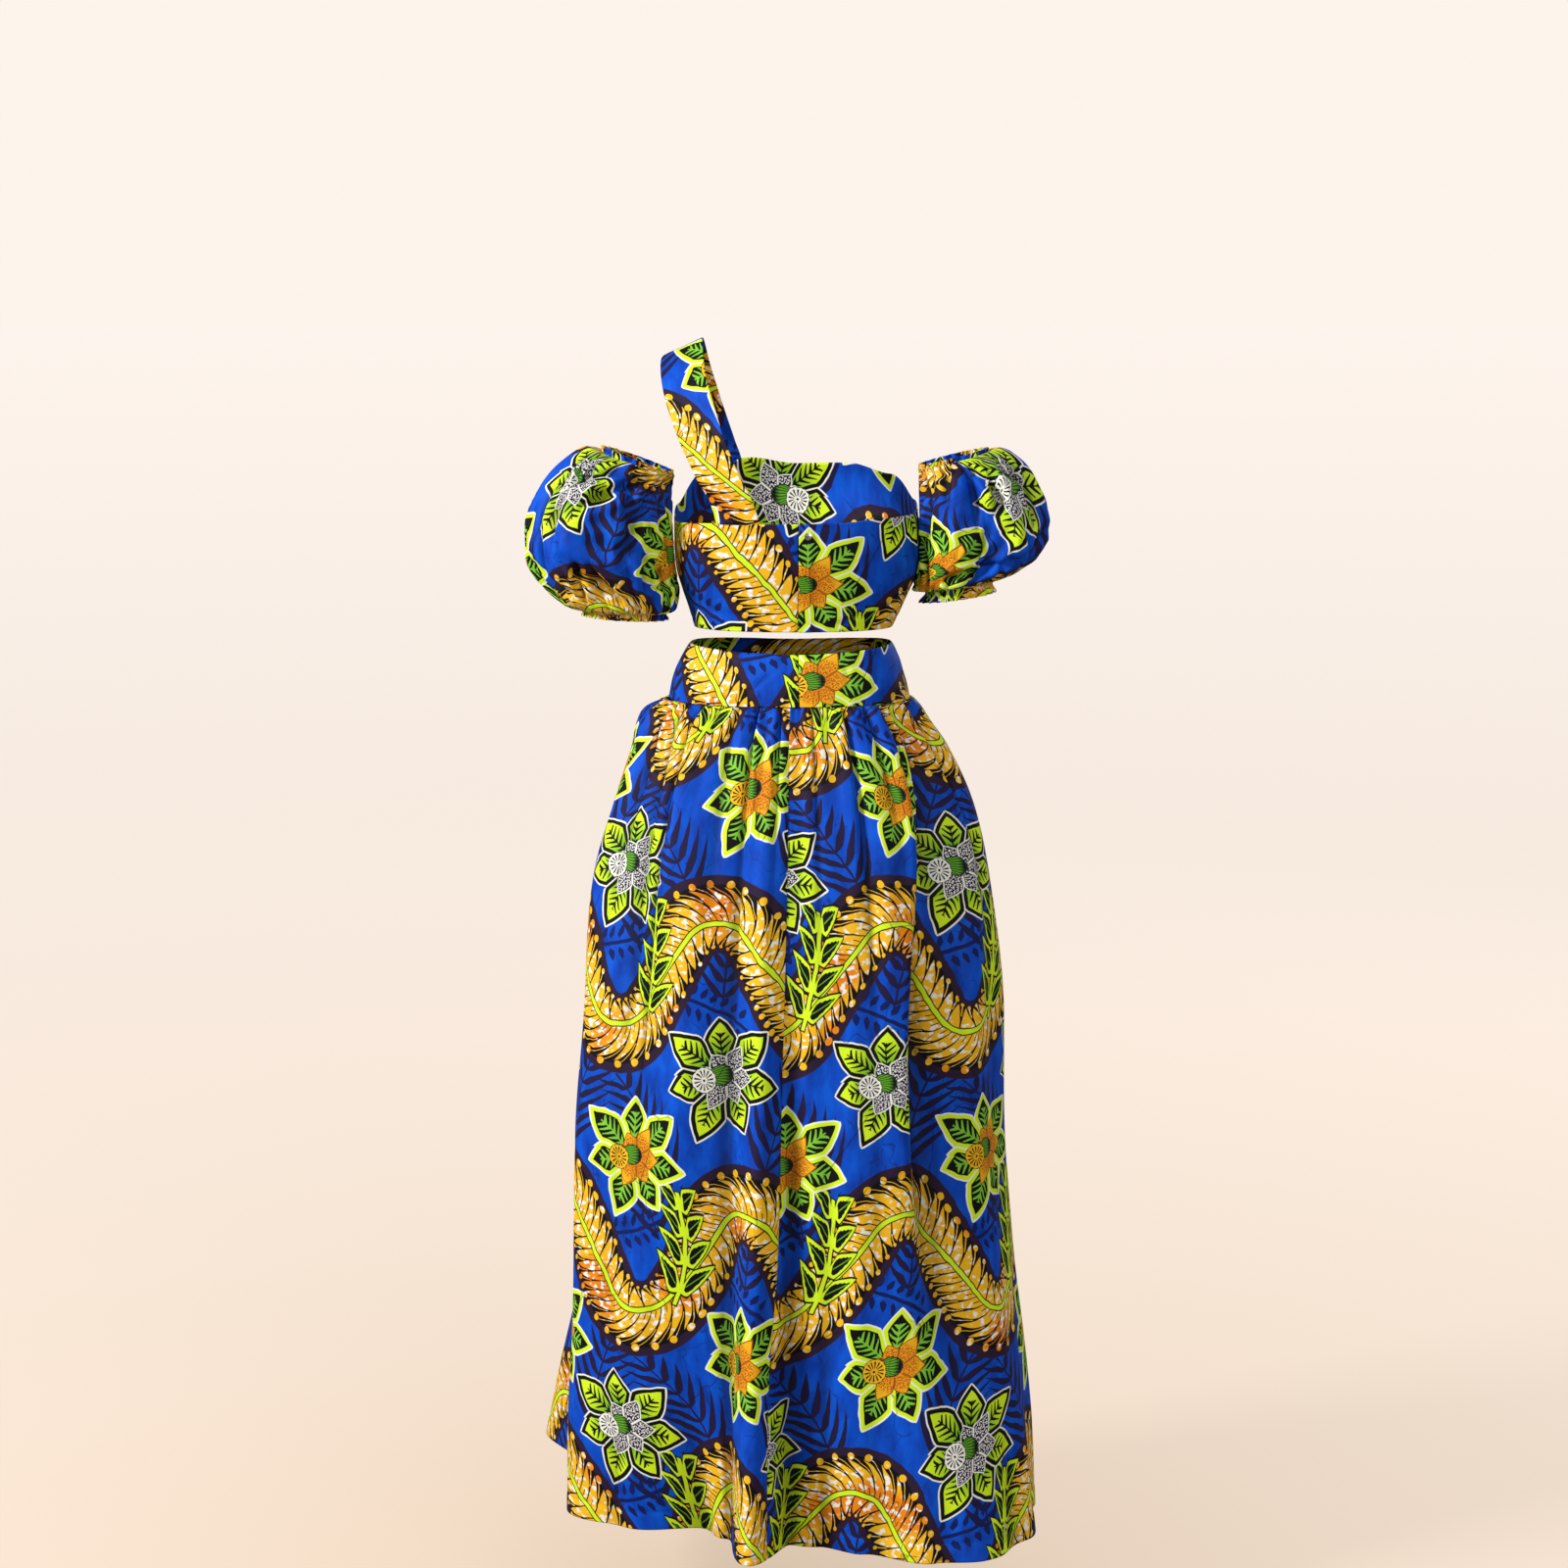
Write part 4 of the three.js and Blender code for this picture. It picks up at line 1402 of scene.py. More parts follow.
        arc_along = near_x.apply("ARCTAN2", near_y) * radius
        along = on_flank.mix(arc_along, along_run + radius * fall)
        along = past.mix(along, 2 * quarter - along) * side
        return along, off, stretch, 4 * quarter

    def plume(self, cloth: Painter) -> None:
        """Paints the golden plume with its stem, barbs and beads over a dark halo."""
        along, off, stretch, length = self.stem_line()
        size = self.layout
        turn = along * (FULL_TURN / length)
        upper = off.mask(self.sharp) * 2.0 - 1.0
        outer = turn.apply("COSINE") * upper
        count = turn + turn.apply("SINE") * upper * size.bunching
        count = count * (size.barbs / FULL_TURN)
        pitch = (outer * size.bunching + 1.0).apply("POWER", -1.0) * (length / size.barbs)
        height = abs(off)
        reach = outer * 0.0085 + 0.0325
        node = self.barbs.place(
            self.tree,
            Count=count,
            Off=off,
            Pitch=pitch,
            Reach=reach,
            Lean=size.barb_lean,
            Curl=size.barb_curl,
            Fullness=0.90,
            Root=0.75,
            Tip=3.2,
        )
        spread_out = stretch.most(0.3)
        edge = Field(node.outputs["Edge"]) * spread_out
        radius = outer * 0.0012 + 0.0031
        beads = reach + radius * 0.7
        slant = beads * (beads * size.barb_curl + size.barb_lean) / pitch
        aside = 0.5 - (count + slant).off_beat()
        bead = radius - length_of(aside * pitch * spread_out, height - beads)
        between = (0.5 - Field(node.outputs["Phase"]).off_beat()) * pitch * spread_out
        stalk = (0.0007 - between).least(beads - height).least(height - reach * 0.6)
        cloth.lay((beads + radius + 0.0060 - height).mask(0.0012), Ink.HALO)
        cloth.lay((beads - height).mask(0.002), Ink.LINE)
        gold = self.gold(Field(node.outputs["Share"]))
        split = (0.0005 - Field(node.outputs["Rib"])).least(0.0115 - height)
        split = split.least(height - 0.0045)
        cloth.lay(edge.mask(0.0007), gold)
        cloth.lay(split.mask() * (outer - 0.1).mask(0.2), Ink.LINE)
        cloth.lay((bead + 0.0009).mask(), Ink.LINE)
        cloth.lay(stalk.most(bead).mask(), gold)
        cloth.lay((self.plume_stem + 0.0013 - height).mask(), Ink.LINE)
        cloth.lay((self.plume_stem - height).mask(), Ink.LIME)

    def gold(self, share: Field) -> bpy.types.NodeSocket:
        """Mottles the plume's gold with amber and with white streaks.

        Args:
            share: from 0 at a barb's root to 1 at its tip.

        Returns:
            The colour's socket.
        """
        gold = Painter(self.tree, Ink.GOLD)
        gold.lay(((self.noise(13.0) - 0.64) * 8.0).held(), Ink.AMBER)
        blotch = self.noise(150.0, detail=1.0, stretch=0.8) + (0.5 - abs(share - 0.4)) * 0.12
        gold.lay((blotch - 0.645).mask(0.12), Ink.WHITE)
        return gold.colour


class PlainWeave(EffectGroup):
    """Threads over and under one another, as a height and as a slight painted shade that darkens
    the colour where the threads dip.
    """

    name = "plain_weave"
    inputs = (("Across", 0.0), ("Up", 0.0), ("Pitch", 0.0004))
    outputs = (("Height", FLOAT_SOCKET), ("ThreadShade", FLOAT_SOCKET))
    darkest = 0.96
    thread_shade_range = 0.06

    def fill(self) -> None:
        """Crosses two sets of threads, every second crossing turned over."""
        warp = (self.given("Across") / self.given("Pitch") * math.pi).apply("SINE")
        weft = (self.given("Up") / self.given("Pitch") * math.pi).apply("SINE")
        height = warp * weft * 0.5 + 0.5
        self.give("Height", height)
        # Painted shade: the colour is darkest where the threads lie lowest.
        self.give("ThreadShade", height * self.thread_shade_range + self.darkest)


# ----------------------------------------------------------------------------------- materials
def new_material(name: str) -> tuple[bpy.types.Material, bpy.types.NodeTree, bpy.types.Node]:
    """Starts a finish.

    Args:
        name: the material's name.

    Returns:
        The material, its node tree and its shader.
    """
    made = bpy.data.materials.new(name)
    made.use_nodes = True
    return made, made.node_tree, made.node_tree.nodes["Principled BSDF"]


def coordinates(tree: bpy.types.NodeTree, place: bpy.types.NodeSocket) -> tuple[Field, Field]:
    """The first two numbers of a place."""
    split = tree.nodes.new("ShaderNodeSeparateXYZ")
    tree.links.new(place, split.inputs[0])
    return Field(split.outputs[0]), Field(split.outputs[1])


@dataclass(frozen=True)
class PrintedCotton:
    """Crisp plain-woven cotton, printed through to both sides, with shade painted into its colour
    in the folds and between the threads.
    """

    roughness: float = 0.66
    sheen: float = 0.02
    sheen_roughness: float = 0.4
    specular: float = 0.16
    thread_pitch: float = 0.00042
    thread_height: float = 0.00008
    weave_depth: float = 0.25
    # how much the colour is darkened in deep folds: painted shade
    painted_valley_shade: float = 0.55

    def material(self) -> bpy.types.Material:
        """Builds the finish."""
        made, tree, shader = new_material("wax_print_cotton")
        shader.inputs["Roughness"].default_value = self.roughness
        shader.inputs["Sheen Weight"].default_value = self.sheen
        shader.inputs["Sheen Roughness"].default_value = self.sheen_roughness
        shader.inputs["Specular IOR Level"].default_value = self.specular
        place = tree.nodes.new("ShaderNodeUVMap")
        place.uv_map = "Cloth"
        across, up = coordinates(tree, place.outputs[0])
        design = WaxPrint(PrintLayout()).place(tree, Across=across, Up=up)
        weave = PlainWeave().place(tree, Across=across, Up=up, Pitch=self.thread_pitch)
        # Painted shade: the printed colour is darkened in the folds' valleys and where the
        # threads dip.
        fold = tree.nodes.new("ShaderNodeAttribute")
        fold.attribute_name = "ValleyPaintedShade"
        shade = 1.0 - Field(fold.outputs["Fac"]) * self.painted_valley_shade
        shade = shade * Field(weave.outputs["ThreadShade"])
        toned = mix_colours(tree, 1.0, design.outputs["Colour"], shade, "MULTIPLY")
        tree.links.new(toned, shader.inputs["Base Color"])
        bump = tree.nodes.new("ShaderNodeBump")
        bump.inputs["Strength"].default_value = self.weave_depth
        bump.inputs["Distance"].default_value = self.thread_height
        tree.links.new(weave.outputs["Height"], bump.inputs["Height"])
        tree.links.new(bump.outputs[0], shader.inputs["Normal"])
        return made


@dataclass(frozen=True)
class NickelSnap:
    """Polished nickel with fine scratches."""

    colour: tuple[float, float, float, float] = (0.62, 0.62, 0.64, 1.0)
    scratches: float = 1400.0
    polish: float = 0.12
    dulling: float = 0.25

    def material(self) -> bpy.types.Material:
        """Builds the finish."""
        made, tree, shader = new_material("snap_nickel")
        shader.inputs["Base Color"].default_value = self.colour
        shader.inputs["Metallic"].default_value = 1.0
        place = tree.nodes.new("ShaderNodeTexCoord")
        noise = tree.nodes.new("ShaderNodeTexNoise")
        noise.inputs["Scale"].default_value = self.scratches
        noise.inputs["Detail"].default_value = 3.0
        tree.links.new(place.outputs["Object"], noise.inputs["Vector"])
        dull = Field(noise.outputs[0]).apply("MULTIPLY_ADD", self.dulling, self.polish)
        tree.links.new(dull.socket, shader.inputs["Roughness"])
        return made


@dataclass(frozen=True)
class StudioPaper:
    """Pale matt paper for the studio floor, lighter with distance, as under a lit backdrop."""

    near: tuple[float, float, float, float] = linear(238, 214, 189)
    far: tuple[float, float, float, float] = linear(254, 245, 238)
    reach: float = 2.2
    glow_near: float = 0.77
    glow_far: float = 0.925
    lit: float = 0.25

    def material(self) -> bpy.types.Material:
        """Builds the finish."""
        made, tree, shader = new_material("studio_paper")
        shader.inputs["Roughness"].default_value = 0.95
        shader.inputs["Specular IOR Level"].default_value = 0.0
        place = tree.nodes.new("ShaderNodeTexCoord")
        distance = length_of(*coordinates(tree, place.outputs["Object"]))
        away = distance / (distance + self.reach)
        tone = mix_colours(tree, away, self.near, self.far)
        black = (0.0, 0.0, 0.0, 1.0)
        tree.links.new(mix_colours(tree, self.lit, black, tone), shader.inputs["Base Color"])
        tree.links.new(tone, shader.inputs["Emission Color"])
        seen = Field(tree.nodes.new("ShaderNodeLightPath").outputs["Is Camera Ray"])
        glow = away.mix(self.glow_near, self.glow_far) * seen
        tree.links.new(glow.socket, shader.inputs["Emission Strength"])
        return made


# --------------------------------------------------------------------------- cutting and sewing
class Hold(Enum):
    """How a piece of cloth is held."""

    GATHERED = "gathered"
    STRETCHED = "stretched"
    HUNG = "hung"


@dataclass(frozen=True)
class Cut:
    """The flat piece that a cloth was cut as.

    Attributes:
        width: metres across.
        length: metres along; not used.
        area: square metres of cloth; not used.
        hold: how it is held when worn; not used.
    """

    width: float
    length: float
    area: float
    hold: Hold


@dataclass(frozen=True)
class PrintPlace:
    """Where a piece was cut from the printed cloth.

    Attributes:
        right: metres to the right on the print of the piece's reference line.
        up: metres up the print of the piece's first row.
    """

    right: float
    up: float


@dataclass(frozen=True)
class Columns:
    """The columns of a panel's grid, in degrees round the body."""

    first: float = 0.0
    last: float = 0.0
    step: float = 1.0
    fine: float = 0.5

    def angles(self) -> np.ndarray:
        """Degrees of each column."""
        return spread(self.first, self.last, self.step, self.fine)


@dataclass(frozen=True)
class Pattern:
    """A pattern piece of the dress.

    Attributes:
        node: the plain solid that it stands for.
        cut: its flat size.
        place: where it was cut from the print.
        columns: the columns of its grid, where it goes round the body.
        from_last: whether the print is laid out from the last column.
        lap: mm that its last column stands out, where it laps over its neighbour.
        creases: the creases that the cloth has there.
    """

    node: str
    cut: Cut
    place: PrintPlace
    columns: Columns = Columns()
    from_last: bool = False
    lap: float = 0.0
    creases: tuple[Crease, ...] = ()


@dataclass
class ClothWork:
    """A sub-assembly of the dress that is sewn from the printed cloth."""

    cotton: bpy.types.Material

    def laid_flat(
        self, pattern: Pattern, grid: ClothGrid, gathering: "np.ndarray | float" = 1.0
    ) -> np.ndarray:
        """Finds where each point of a piece lies on the printed cloth.

        Args:
            pattern: the piece.
            grid: its points.
            gathering: how much wider the flat cloth is than the worn one, by row.

        Returns:
            Metres across and up the print.
        """
        across = grid.across() - (grid.across()[-1] if pattern.from_last else 0.0)
        right = pattern.place.right - across * MM * gathering
        return np.stack([right, pattern.place.up + grid.up() * MM], axis=-1)

    def sew(self, pattern: Pattern, grid: ClothGrid, cloth_uv: np.ndarray) -> None:
        """Makes a piece of cloth and ties it to the part.

        Args:
            pattern: the piece.
            grid: its points.
            cloth_uv: where each point lies on the printed cloth, in metres.
        """
        piece = build_cloth(pattern.node + "_cloth", grid, cloth_uv, self.cotton)
        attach(piece, "root")
        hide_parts(pattern.node)
        LOG.info("%s stands for %s", piece.name, pattern.node)


# -------------------------------------------------------------------------------- the garment
@dataclass
class Skirt(ClothWork):
    """The long skirt: two back panels and a front, gathered onto the waistband."""

    hem_rows: tuple[float, ...] = (0.0, 1.5, 4.0, 9.0, 14.0, 18.0, 20.0, 22.0, 26.0)
    hem_turning: float = 20.0
    hem_rise: float = 0.5
    hem_stitch: Stitching = Stitching(0.7, 1.6)
    side_seam: Stitching = Stitching(1.3, 2.6)
    gather_depth: float = 0.25
    pinch_fade: float = 11.0
    pucker_count: int = 88
    pucker_depth: float = 1.3
    pucker_fade: float = 26.0
    pucker_wander: tuple[tuple[float, float, float], ...] = ((40, 5, 0), (26, 11, 50))
    billows: tuple[Billow, ...] = (Billow(4.2, (44, 360), 5), Billow(2.2, (22, 170), 8, 0.12))
    mean_radius: float = 230.0
    print_gathering: float = 0.3
    gathering_fade: float = 90.0
    print_up: float = -0.323

    def heights(self) -> np.ndarray:
        """Heights of the grid's rows, close together by the hem and the gathers."""
        legs, hips, waist, top = SKIRT_HEM + 32.0, 900.0, 985.0, WAISTBAND_BOTTOM - SEAM_GAP
        return np.concatenate(
            [
                SKIRT_HEM + np.array(self.hem_rows),
                np.arange(legs, hips, 6.4),
                np.arange(hips, waist, 4.2),
                np.arange(waist, top, 2.4),
                [top],
            ]
        )

    def gathers(self, column: np.ndarray, below: np.ndarray) -> np.ndarray:
        """Puffs of cloth between pinched valleys under the waistband.

        Args:
            column: degrees round the skirt.
            below: mm below the waistband.

        Returns:
            How far the cloth stands out, in mm.
        """
        low, high, share = ring_cell(WAIST_PINCHES.column("at"), column)
        depth, length = WAIST_PINCHES.column("depth") ** 2, WAIST_PINCHES.column("length")
        from_low = depth[low] * np.exp(-below / length[low])
        from_high = depth[high] * np.exp(-below / length[high])
        size = self.gather_depth * (from_low * (1 - share) + from_high * share)
        sharpness = 0.45 + 0.6 * smoothstep(below, 20, 200)
        opening = 0.35 + 0.65 * (1 - np.exp(-below / self.pinch_fade))
        return size * puff(share, sharpness) * opening

    def puckers(self, column: np.ndarray, below: np.ndarray) -> np.ndarray:
        """Fine puckers where the gathering thread runs.

        Args:
            column: degrees round the skirt.
            below: mm below the waistband.

        Returns:
            How far the cloth stands out, in mm.
        """
        wander = sum(
            size * np.sin((waves * column + start) * DEGREE)
            for size, waves, start in self.pucker_wander
        )
        wave = np.cos((self.pucker_count * column + wander) * DEGREE)
        return self.pucker_depth * wave * np.exp(-below / self.pucker_fade)

    def large_folds(self, angle: np.ndarray, heights: np.ndarray) -> np.ndarray:
        """The long folds that hang from the hips.

        Args:
            angle: degrees round the skirt, columns by rows.
            heights: mm above the floor of each row.

        Returns:
            How far the cloth stands out, in mm.
        """
        at, top = SKIRT_FOLDS.column("at"), SKIRT_FOLDS.column("top")
        depths = np.stack([SKIRT_FOLDS.column(name) for name in FOLD_COLUMNS])
        folds = np.empty(angle.shape)
        for j, height in enumerate(heights):
            lean = smoothstep(height, FOLD_HEIGHTS[2], FOLD_HEIGHTS[4])
            here = np.array([hermite(FOLD_HEIGHTS, depth, height) for depth in depths.T])
            folds[:, j] = around_ring(at + (top - at) * lean, here, angle[:, j])
        return folds

    def surface(self, columns: np.ndarray, heights: np.ndarray) -> np.ndarray:
        """Points of the skirt's outer side.

        Args:
            columns: degrees round the skirt from the centre-back seam.
            heights: mm above the floor.

        Returns:
            The points, columns by rows.
        """
        column, z = columns[:, None], heights[None, :]
        seam = SKIRT_SEAM.smooth("at", z)
        angle = column + seam * (1 + np.cos(column * DEGREE)) / 2
        plain = reach(SKIRT_SECTIONS, SKIRT_SQUARENESS, angle, z)
        below = WAISTBAND_BOTTOM - z
        fine = self.gathers(column, below) + self.puckers(column, below)
        free = smoothstep(below, 60, 300)
        arc = angle * DEGREE * self.mean_radius
        billow = sum(wave.over(arc, z) * free for wave in self.billows)
        return around(angle, plain + self.large_folds(angle, heights) + fine + billow, z)

    def panel(self, pattern: Pattern) -> None:
        """Makes one panel."""
        heights = self.heights()
        grid = ClothGrid(self.surface(pattern.columns.angles(), heights))
        above_hem = heights[None, :] - SKIRT_HEM
        turned = self.hem_rise * smoothstep(self.hem_turning - above_hem, -1.5, 1.5)
        stitched = self.hem_stitch.dip(above_hem - self.hem_turning)
        grid.raise_by(turned - stitched - self.side_seam.dip(grid.from_edges()))
        fade = np.exp(-(WAISTBAND_BOTTOM - heights) / self.gathering_fade)[None, :]
        gathering = 1 + self.print_gathering * fade
        self.sew(pattern, grid, self.laid_flat(pattern, grid, gathering))

    def build(self) -> None:
        """Makes the three panels."""
        back = Cut(0.62, 0.95, 0.44, Hold.GATHERED)
        front = Cut(1.20, 0.95, 0.86, Hold.GATHERED)
        left_half = Columns(0.0, SIDE_SEAM, 0.86, 0.3)
        right_half = Columns(-SIDE_SEAM, 0.0, 0.86, 0.3)
        front_half = Columns(SIDE_SEAM, 360 - SIDE_SEAM, 0.9, 0.3)
        left_place, right_place, front_place = (
            PrintPlace(right, self.print_up) for right in (0.055, 0.13, 0.10)
        )
        self.panel(Pattern("skirt_back_left", back, left_place, left_half))
        self.panel(Pattern("skirt_back_right", back, right_place, right_half, from_last=True))
        self.panel(Pattern("skirt_front", front, front_place, front_half))


@dataclass
class Waistband(ClothWork):
    """The shaped waistband, in two back pieces and a front."""

    top_fold: Stitching = Stitching(1.0, 1.6)
    seam: Stitching = Stitching(0.9, 2.4)
    fullness: float = 0.5
    pucker_depth: float = 0.7
    pucker_width: float = 3.7
    pucker_fade: float = 9.0
    wave: Billow = Billow(0.8, (17, 26), 21)

    def surface(self, columns: np.ndarray, shares: np.ndarray) -> np.ndarray:
        """Points of its outer side, by angle and by share of its height."""
        angle, share = columns[:, None], shares[None, :]
        top = WAISTBAND_TOP - WAISTBAND_DIP * np.cos(2 * angle * DEGREE)
        z = WAISTBAND_BOTTOM + share * (top - WAISTBAND_BOTTOM)
        return around(angle, reach(WAISTBAND_SECTIONS, BODY_SQUARENESS, angle, z), z)

    def panel(self, pattern: Pattern) -> None:
        """Makes one piece of the band."""
        rows = np.concatenate([[0, 0.02, 0.05], np.linspace(0.09, 0.91, 18), [0.95, 0.98, 1]])
        grid = ClothGrid(self.surface(pattern.columns.angles(), rows))
        across, up = grid.across(), grid.up()
        full = self.fullness * np.sin(math.pi * up / up.max()) + self.wave.over(across, up)
        waves = np.sin(across / self.pucker_width)
        puckers = self.pucker_depth * waves * np.exp(-up / self.pucker_fade)
        edges = self.top_fold.dip(up.max() - up)
        grid.raise_by(full + puckers - edges - self.seam.dip(grid.from_edges()))
        grid.crease(pattern.creases)
        self.sew(pattern, grid, self.laid_flat(pattern, grid))

    def build(self) -> None:
        """Makes the three pieces."""
        back = Cut(0.205, 0.068, 0.0118, Hold.STRETCHED)
        front = Cut(0.385, 0.068, 0.0225, Hold.STRETCHED)
        slants = (
            Crease((18, 50), (60, 12), 3.0, 1.2),
            Crease((70, 55), (96, 8), 3.4, 1.4),
            Crease((110, 52), (128, 10), 3.0, 1.2),
        )
        self.panel(
            Pattern(
                "waistband_back_left",
                back,
                PrintPlace(0.175, -0.03),
                Columns(CENTRE_BACK, SIDE_SEAM, 1.4, 0.6),
                creases=slants,
            )
        )
        self.panel(
            Pattern(
                "waistband_back_right",
                back,
                PrintPlace(0.116, 0.082),
                Columns(-SIDE_SEAM, CENTRE_BACK, 1.4, 0.6),
                from_last=True,
                creases=slants,
            )
        )
        self.panel(
            Pattern(
                "waistband_front",
                front,
                PrintPlace(0.2, 0.02),
                Columns(SIDE_SEAM, 360 - SIDE_SEAM, 1.5, 0.6),
            )
        )


@dataclass
class Bodice(ClothWork):
    """The cropped bodice with its back opening, the strap and the snap."""

    nickel: bpy.types.Material
    edge_stitch: Stitching = Stitching(0.45, 1.3)
    edge_stitch_down: float = 4.0
    hem_stitch: Stitching = Stitching(0.45, 1.5)
    hem_stitch_up: float = 10.0
    seam: Stitching = Stitching(0.9, 2.4)
    wave: Billow = Billow(0.9, (38, 30), 31)
    strap_fold: Stitching = Stitching(0.8, 1.6)
    strap_stitch: Stitching = Stitching(0.35, 1.1)
    strap_stitch_in: float = 4.5
    strap_wave: Billow = Billow(0.7, (22, 34), 44)
    snap_x: float = -13.0
    snap_z: float = 1231.0
    snap_radius: float = 4.1
    snap_depth: float = 1.2
    snap_seat: float = 1.6

    def surface(self, columns: np.ndarray, shares: np.ndarray) -> np.ndarray:
        """Points of its outer side, by angle and by share of its height."""
        angle, share = columns[:, None], shares[None, :]
        z = BODICE_HEM + share * (NECKLINE.around("z", angle) - BODICE_HEM)
        return body_point(angle, z)

    def panel(self, pattern: Pattern) -> None:
        """Makes one panel of the bodice."""
        rows = np.concatenate([[0, 0.012, 0.03], np.linspace(0.06, 0.94, 42), [0.965, 0.985, 1]])
        grid = ClothGrid(self.surface(pattern.columns.angles(), rows))
        across, up = grid.across(), grid.up()
        stitched = self.edge_stitch.dip(up.max() - up - self.edge_stitch_down)
        stitched = stitched + self.hem_stitch.dip(up - self.hem_stitch_up)
        to_last = across[-1] - across
        last_edge = self.seam.dip(to_last)
        if pattern.lap:
            last_edge = -pattern.lap * smoothstep(-to_last, -18, -12)
        wave = self.wave.over(across, up) * np.sin(math.pi * up / up.max())
        grid.raise_by(wave - stitched - self.seam.dip(across) - last_edge)
        grid.crease(pattern.creases)
        self.sew(pattern, grid, self.laid_flat(pattern, grid))

    def strap_surface(self, across: np.ndarray, along: np.ndarray) -> np.ndarray:
        """Points of the strap's outer side.

        Args:
            across: from -1 at its inner edge to 1 at its outer edge.
            along: from 0 at its back foot to 1 at its front foot.

        Returns:
            The points, columns by rows.
        """
        last = len(STRAP_PATH.rows) - 1
        across, along = across[:, None], along[None, :]
        x, y, z, out, forward, down = (
            STRAP_PATH.smooth(name, along * last, by="row") for name in STRAP_PATH.columns
        )
        point = [x + across * out, y - across * forward, z - across * down]
        point = np.stack(np.broadcast_arrays(*point), axis=-1)
        from_foot = np.minimum(along, 1 - along) * last
        free = smoothstep(from_foot, 0, 1.5)[..., None]
        angle = np.degrees(np.arctan2(point[..., 0], point[..., 1]))
        foot_heights = STRAP_PATH.column("z")
        foot_z = np.where(along < 0.5, foot_heights[0], foot_heights[-1])
        lift = np.maximum(point[..., 2] - foot_z, 0)
        seated = body_point(angle, NECKLINE.around("z", angle) + lift - 1.0)
        return seated * (1 - free) + point * free

    def strap(self) -> None:
        """Makes the strap, a folded band with soft edges."""
        across = np.concatenate([[-1, -0.96, -0.9], np.linspace(-0.8, 0.8, 15), [0.9, 0.96, 1]])
        grid = ClothGrid(self.strap_surface(across, np.linspace(0, 1, 120)))
        to_edge = grid.from_edges()
        edges = self.strap_fold.dip(to_edge)
        edges = edges + self.strap_stitch.dip(to_edge - self.strap_stitch_in)
        grid.raise_by(self.strap_wave.over(grid.across(), grid.up()) - edges)
        grid.crease((Crease((6, 20), (40, 44), 2.6, 1.1), Crease((8, 62), (42, 74), 2.6, 0.9)))
        cut = Cut(0.055, 0.43, 0.0215, Hold.HUNG)
        pattern = Pattern("shoulder_strap", cut, PrintPlace(0.105, 0.555))
        self.sew(pattern, grid, self.laid_flat(pattern, grid))

    def snap(self) -> None:
        """Models the domed cap of the snap at the top of the back opening."""
        back_depth = 99.0
        angle = np.degrees(np.arctan2(self.snap_x, back_depth))
        seat = body_point(np.array(angle), np.array(self.snap_z))
        bpy.ops.object.select_all(action="DESELECT")
        bpy.ops.mesh.primitive_cylinder_add(
            vertices=40,
            radius=self.snap_radius * MM,
            depth=self.snap_depth * MM,
            end_fill_type="NGON",
            location=(0, 0, 0),
        )
        cap = bpy.context.object
        cap.name = "back_snap_cap"
        bpy.ops.object.mode_set(mode="EDIT")
        bpy.ops.mesh.select_all(action="DESELECT")
        bpy.ops.object.mode_set(mode="OBJECT")
        for face in cap.data.polygons:
            face.select = face.normal.z > 0.9
        bpy.ops.object.mode_set(mode="EDIT")
        bpy.ops.mesh.select_mode(type="FACE")
        lip, groove = (0.55, 0.0), (0.25, -0.3)
        dome = ((0.35, 0.45), (0.6, 0.4), (0.8, 0.25), (0.7, 0.1))
        for inset, rise in (lip, groove, *dome):
            bpy.ops.mesh.inset(thickness=inset * MM, depth=rise * MM)
        bpy.ops.object.mode_set(mode="OBJECT")
        rim = cap.modifiers.new("Rim", "BEVEL")
        rim.width = 0.18 * MM
        rim.segments = 2
        rim.limit_method = "ANGLE"
        bpy.ops.object.modifier_apply(modifier=rim.name)
        quarter_turn = -math.radians(90)
        bpy.ops.transform.rotate(value=quarter_turn, orient_axis="X", center_override=(0, 0, 0))
        place = (seat - SHOULDER) * MM
        out = self.snap_seat * MM
        bpy.ops.transform.translate(value=(place[0], place[1] + out, place[2]))
        bpy.ops.object.transform_apply(location=True, rotation=True, scale=True)
        bpy.ops.object.shade_smooth_by_angle(angle=math.radians(40))
        cap.data.materials.append(self.nickel)
        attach(cap, "root")
        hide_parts("back_snap")
        LOG.info("%s stands for back_snap", cap.name)

    def build(self) -> None:
        """Makes the panels, the strap and the snap."""
        back = Cut(0.195, 0.132, 0.0235, Hold.STRETCHED)
        front = Cut(0.45, 0.19, 0.067, Hold.STRETCHED)
        self.panel(
            Pattern(
                "bodice_back_left",
                back,
                PrintPlace(0.091, 0.25),
                Columns(CENTRE_BACK, SIDE_SEAM, 1.3, 0.7),
                creases=(
                    Crease((30, 4), (95, 26), 4.0, 1.6),
                    Crease((60, 2), (130, 40), 4.5, 1.8),
                ),
            )
        )
        self.panel(
            Pattern(
                "bodice_back_right",
                back,
                PrintPlace(0.125, 0.055),
                Columns(-SIDE_SEAM, CENTRE_BACK, 1.3, 0.7),
                from_last=True,
                lap=1.2,
                creases=(
                    Crease((60, 30), (120, 6), 4.0, 1.4),
                    Crease((20, 44), (90, 8), 4.5, 1.6),
                ),
            )
        )
        self.panel(
            Pattern(
                "bodice_front",
                front,
                PrintPlace(0.03, 0.30),
                Columns(SIDE_SEAM, 360 - SIDE_SEAM, 1.35, 0.7),
                creases=(
                    Crease((110, 8), (180, 40), 6.0, 2.0),
                    Crease((210, 40), (285, 8), 6.0, 2.0),
                ),
            )
        )
        self.strap()
        self.snap()


class Side(Enum):
    """Which arm a sleeve is worn on."""

    LEFT = 1
    RIGHT = -1


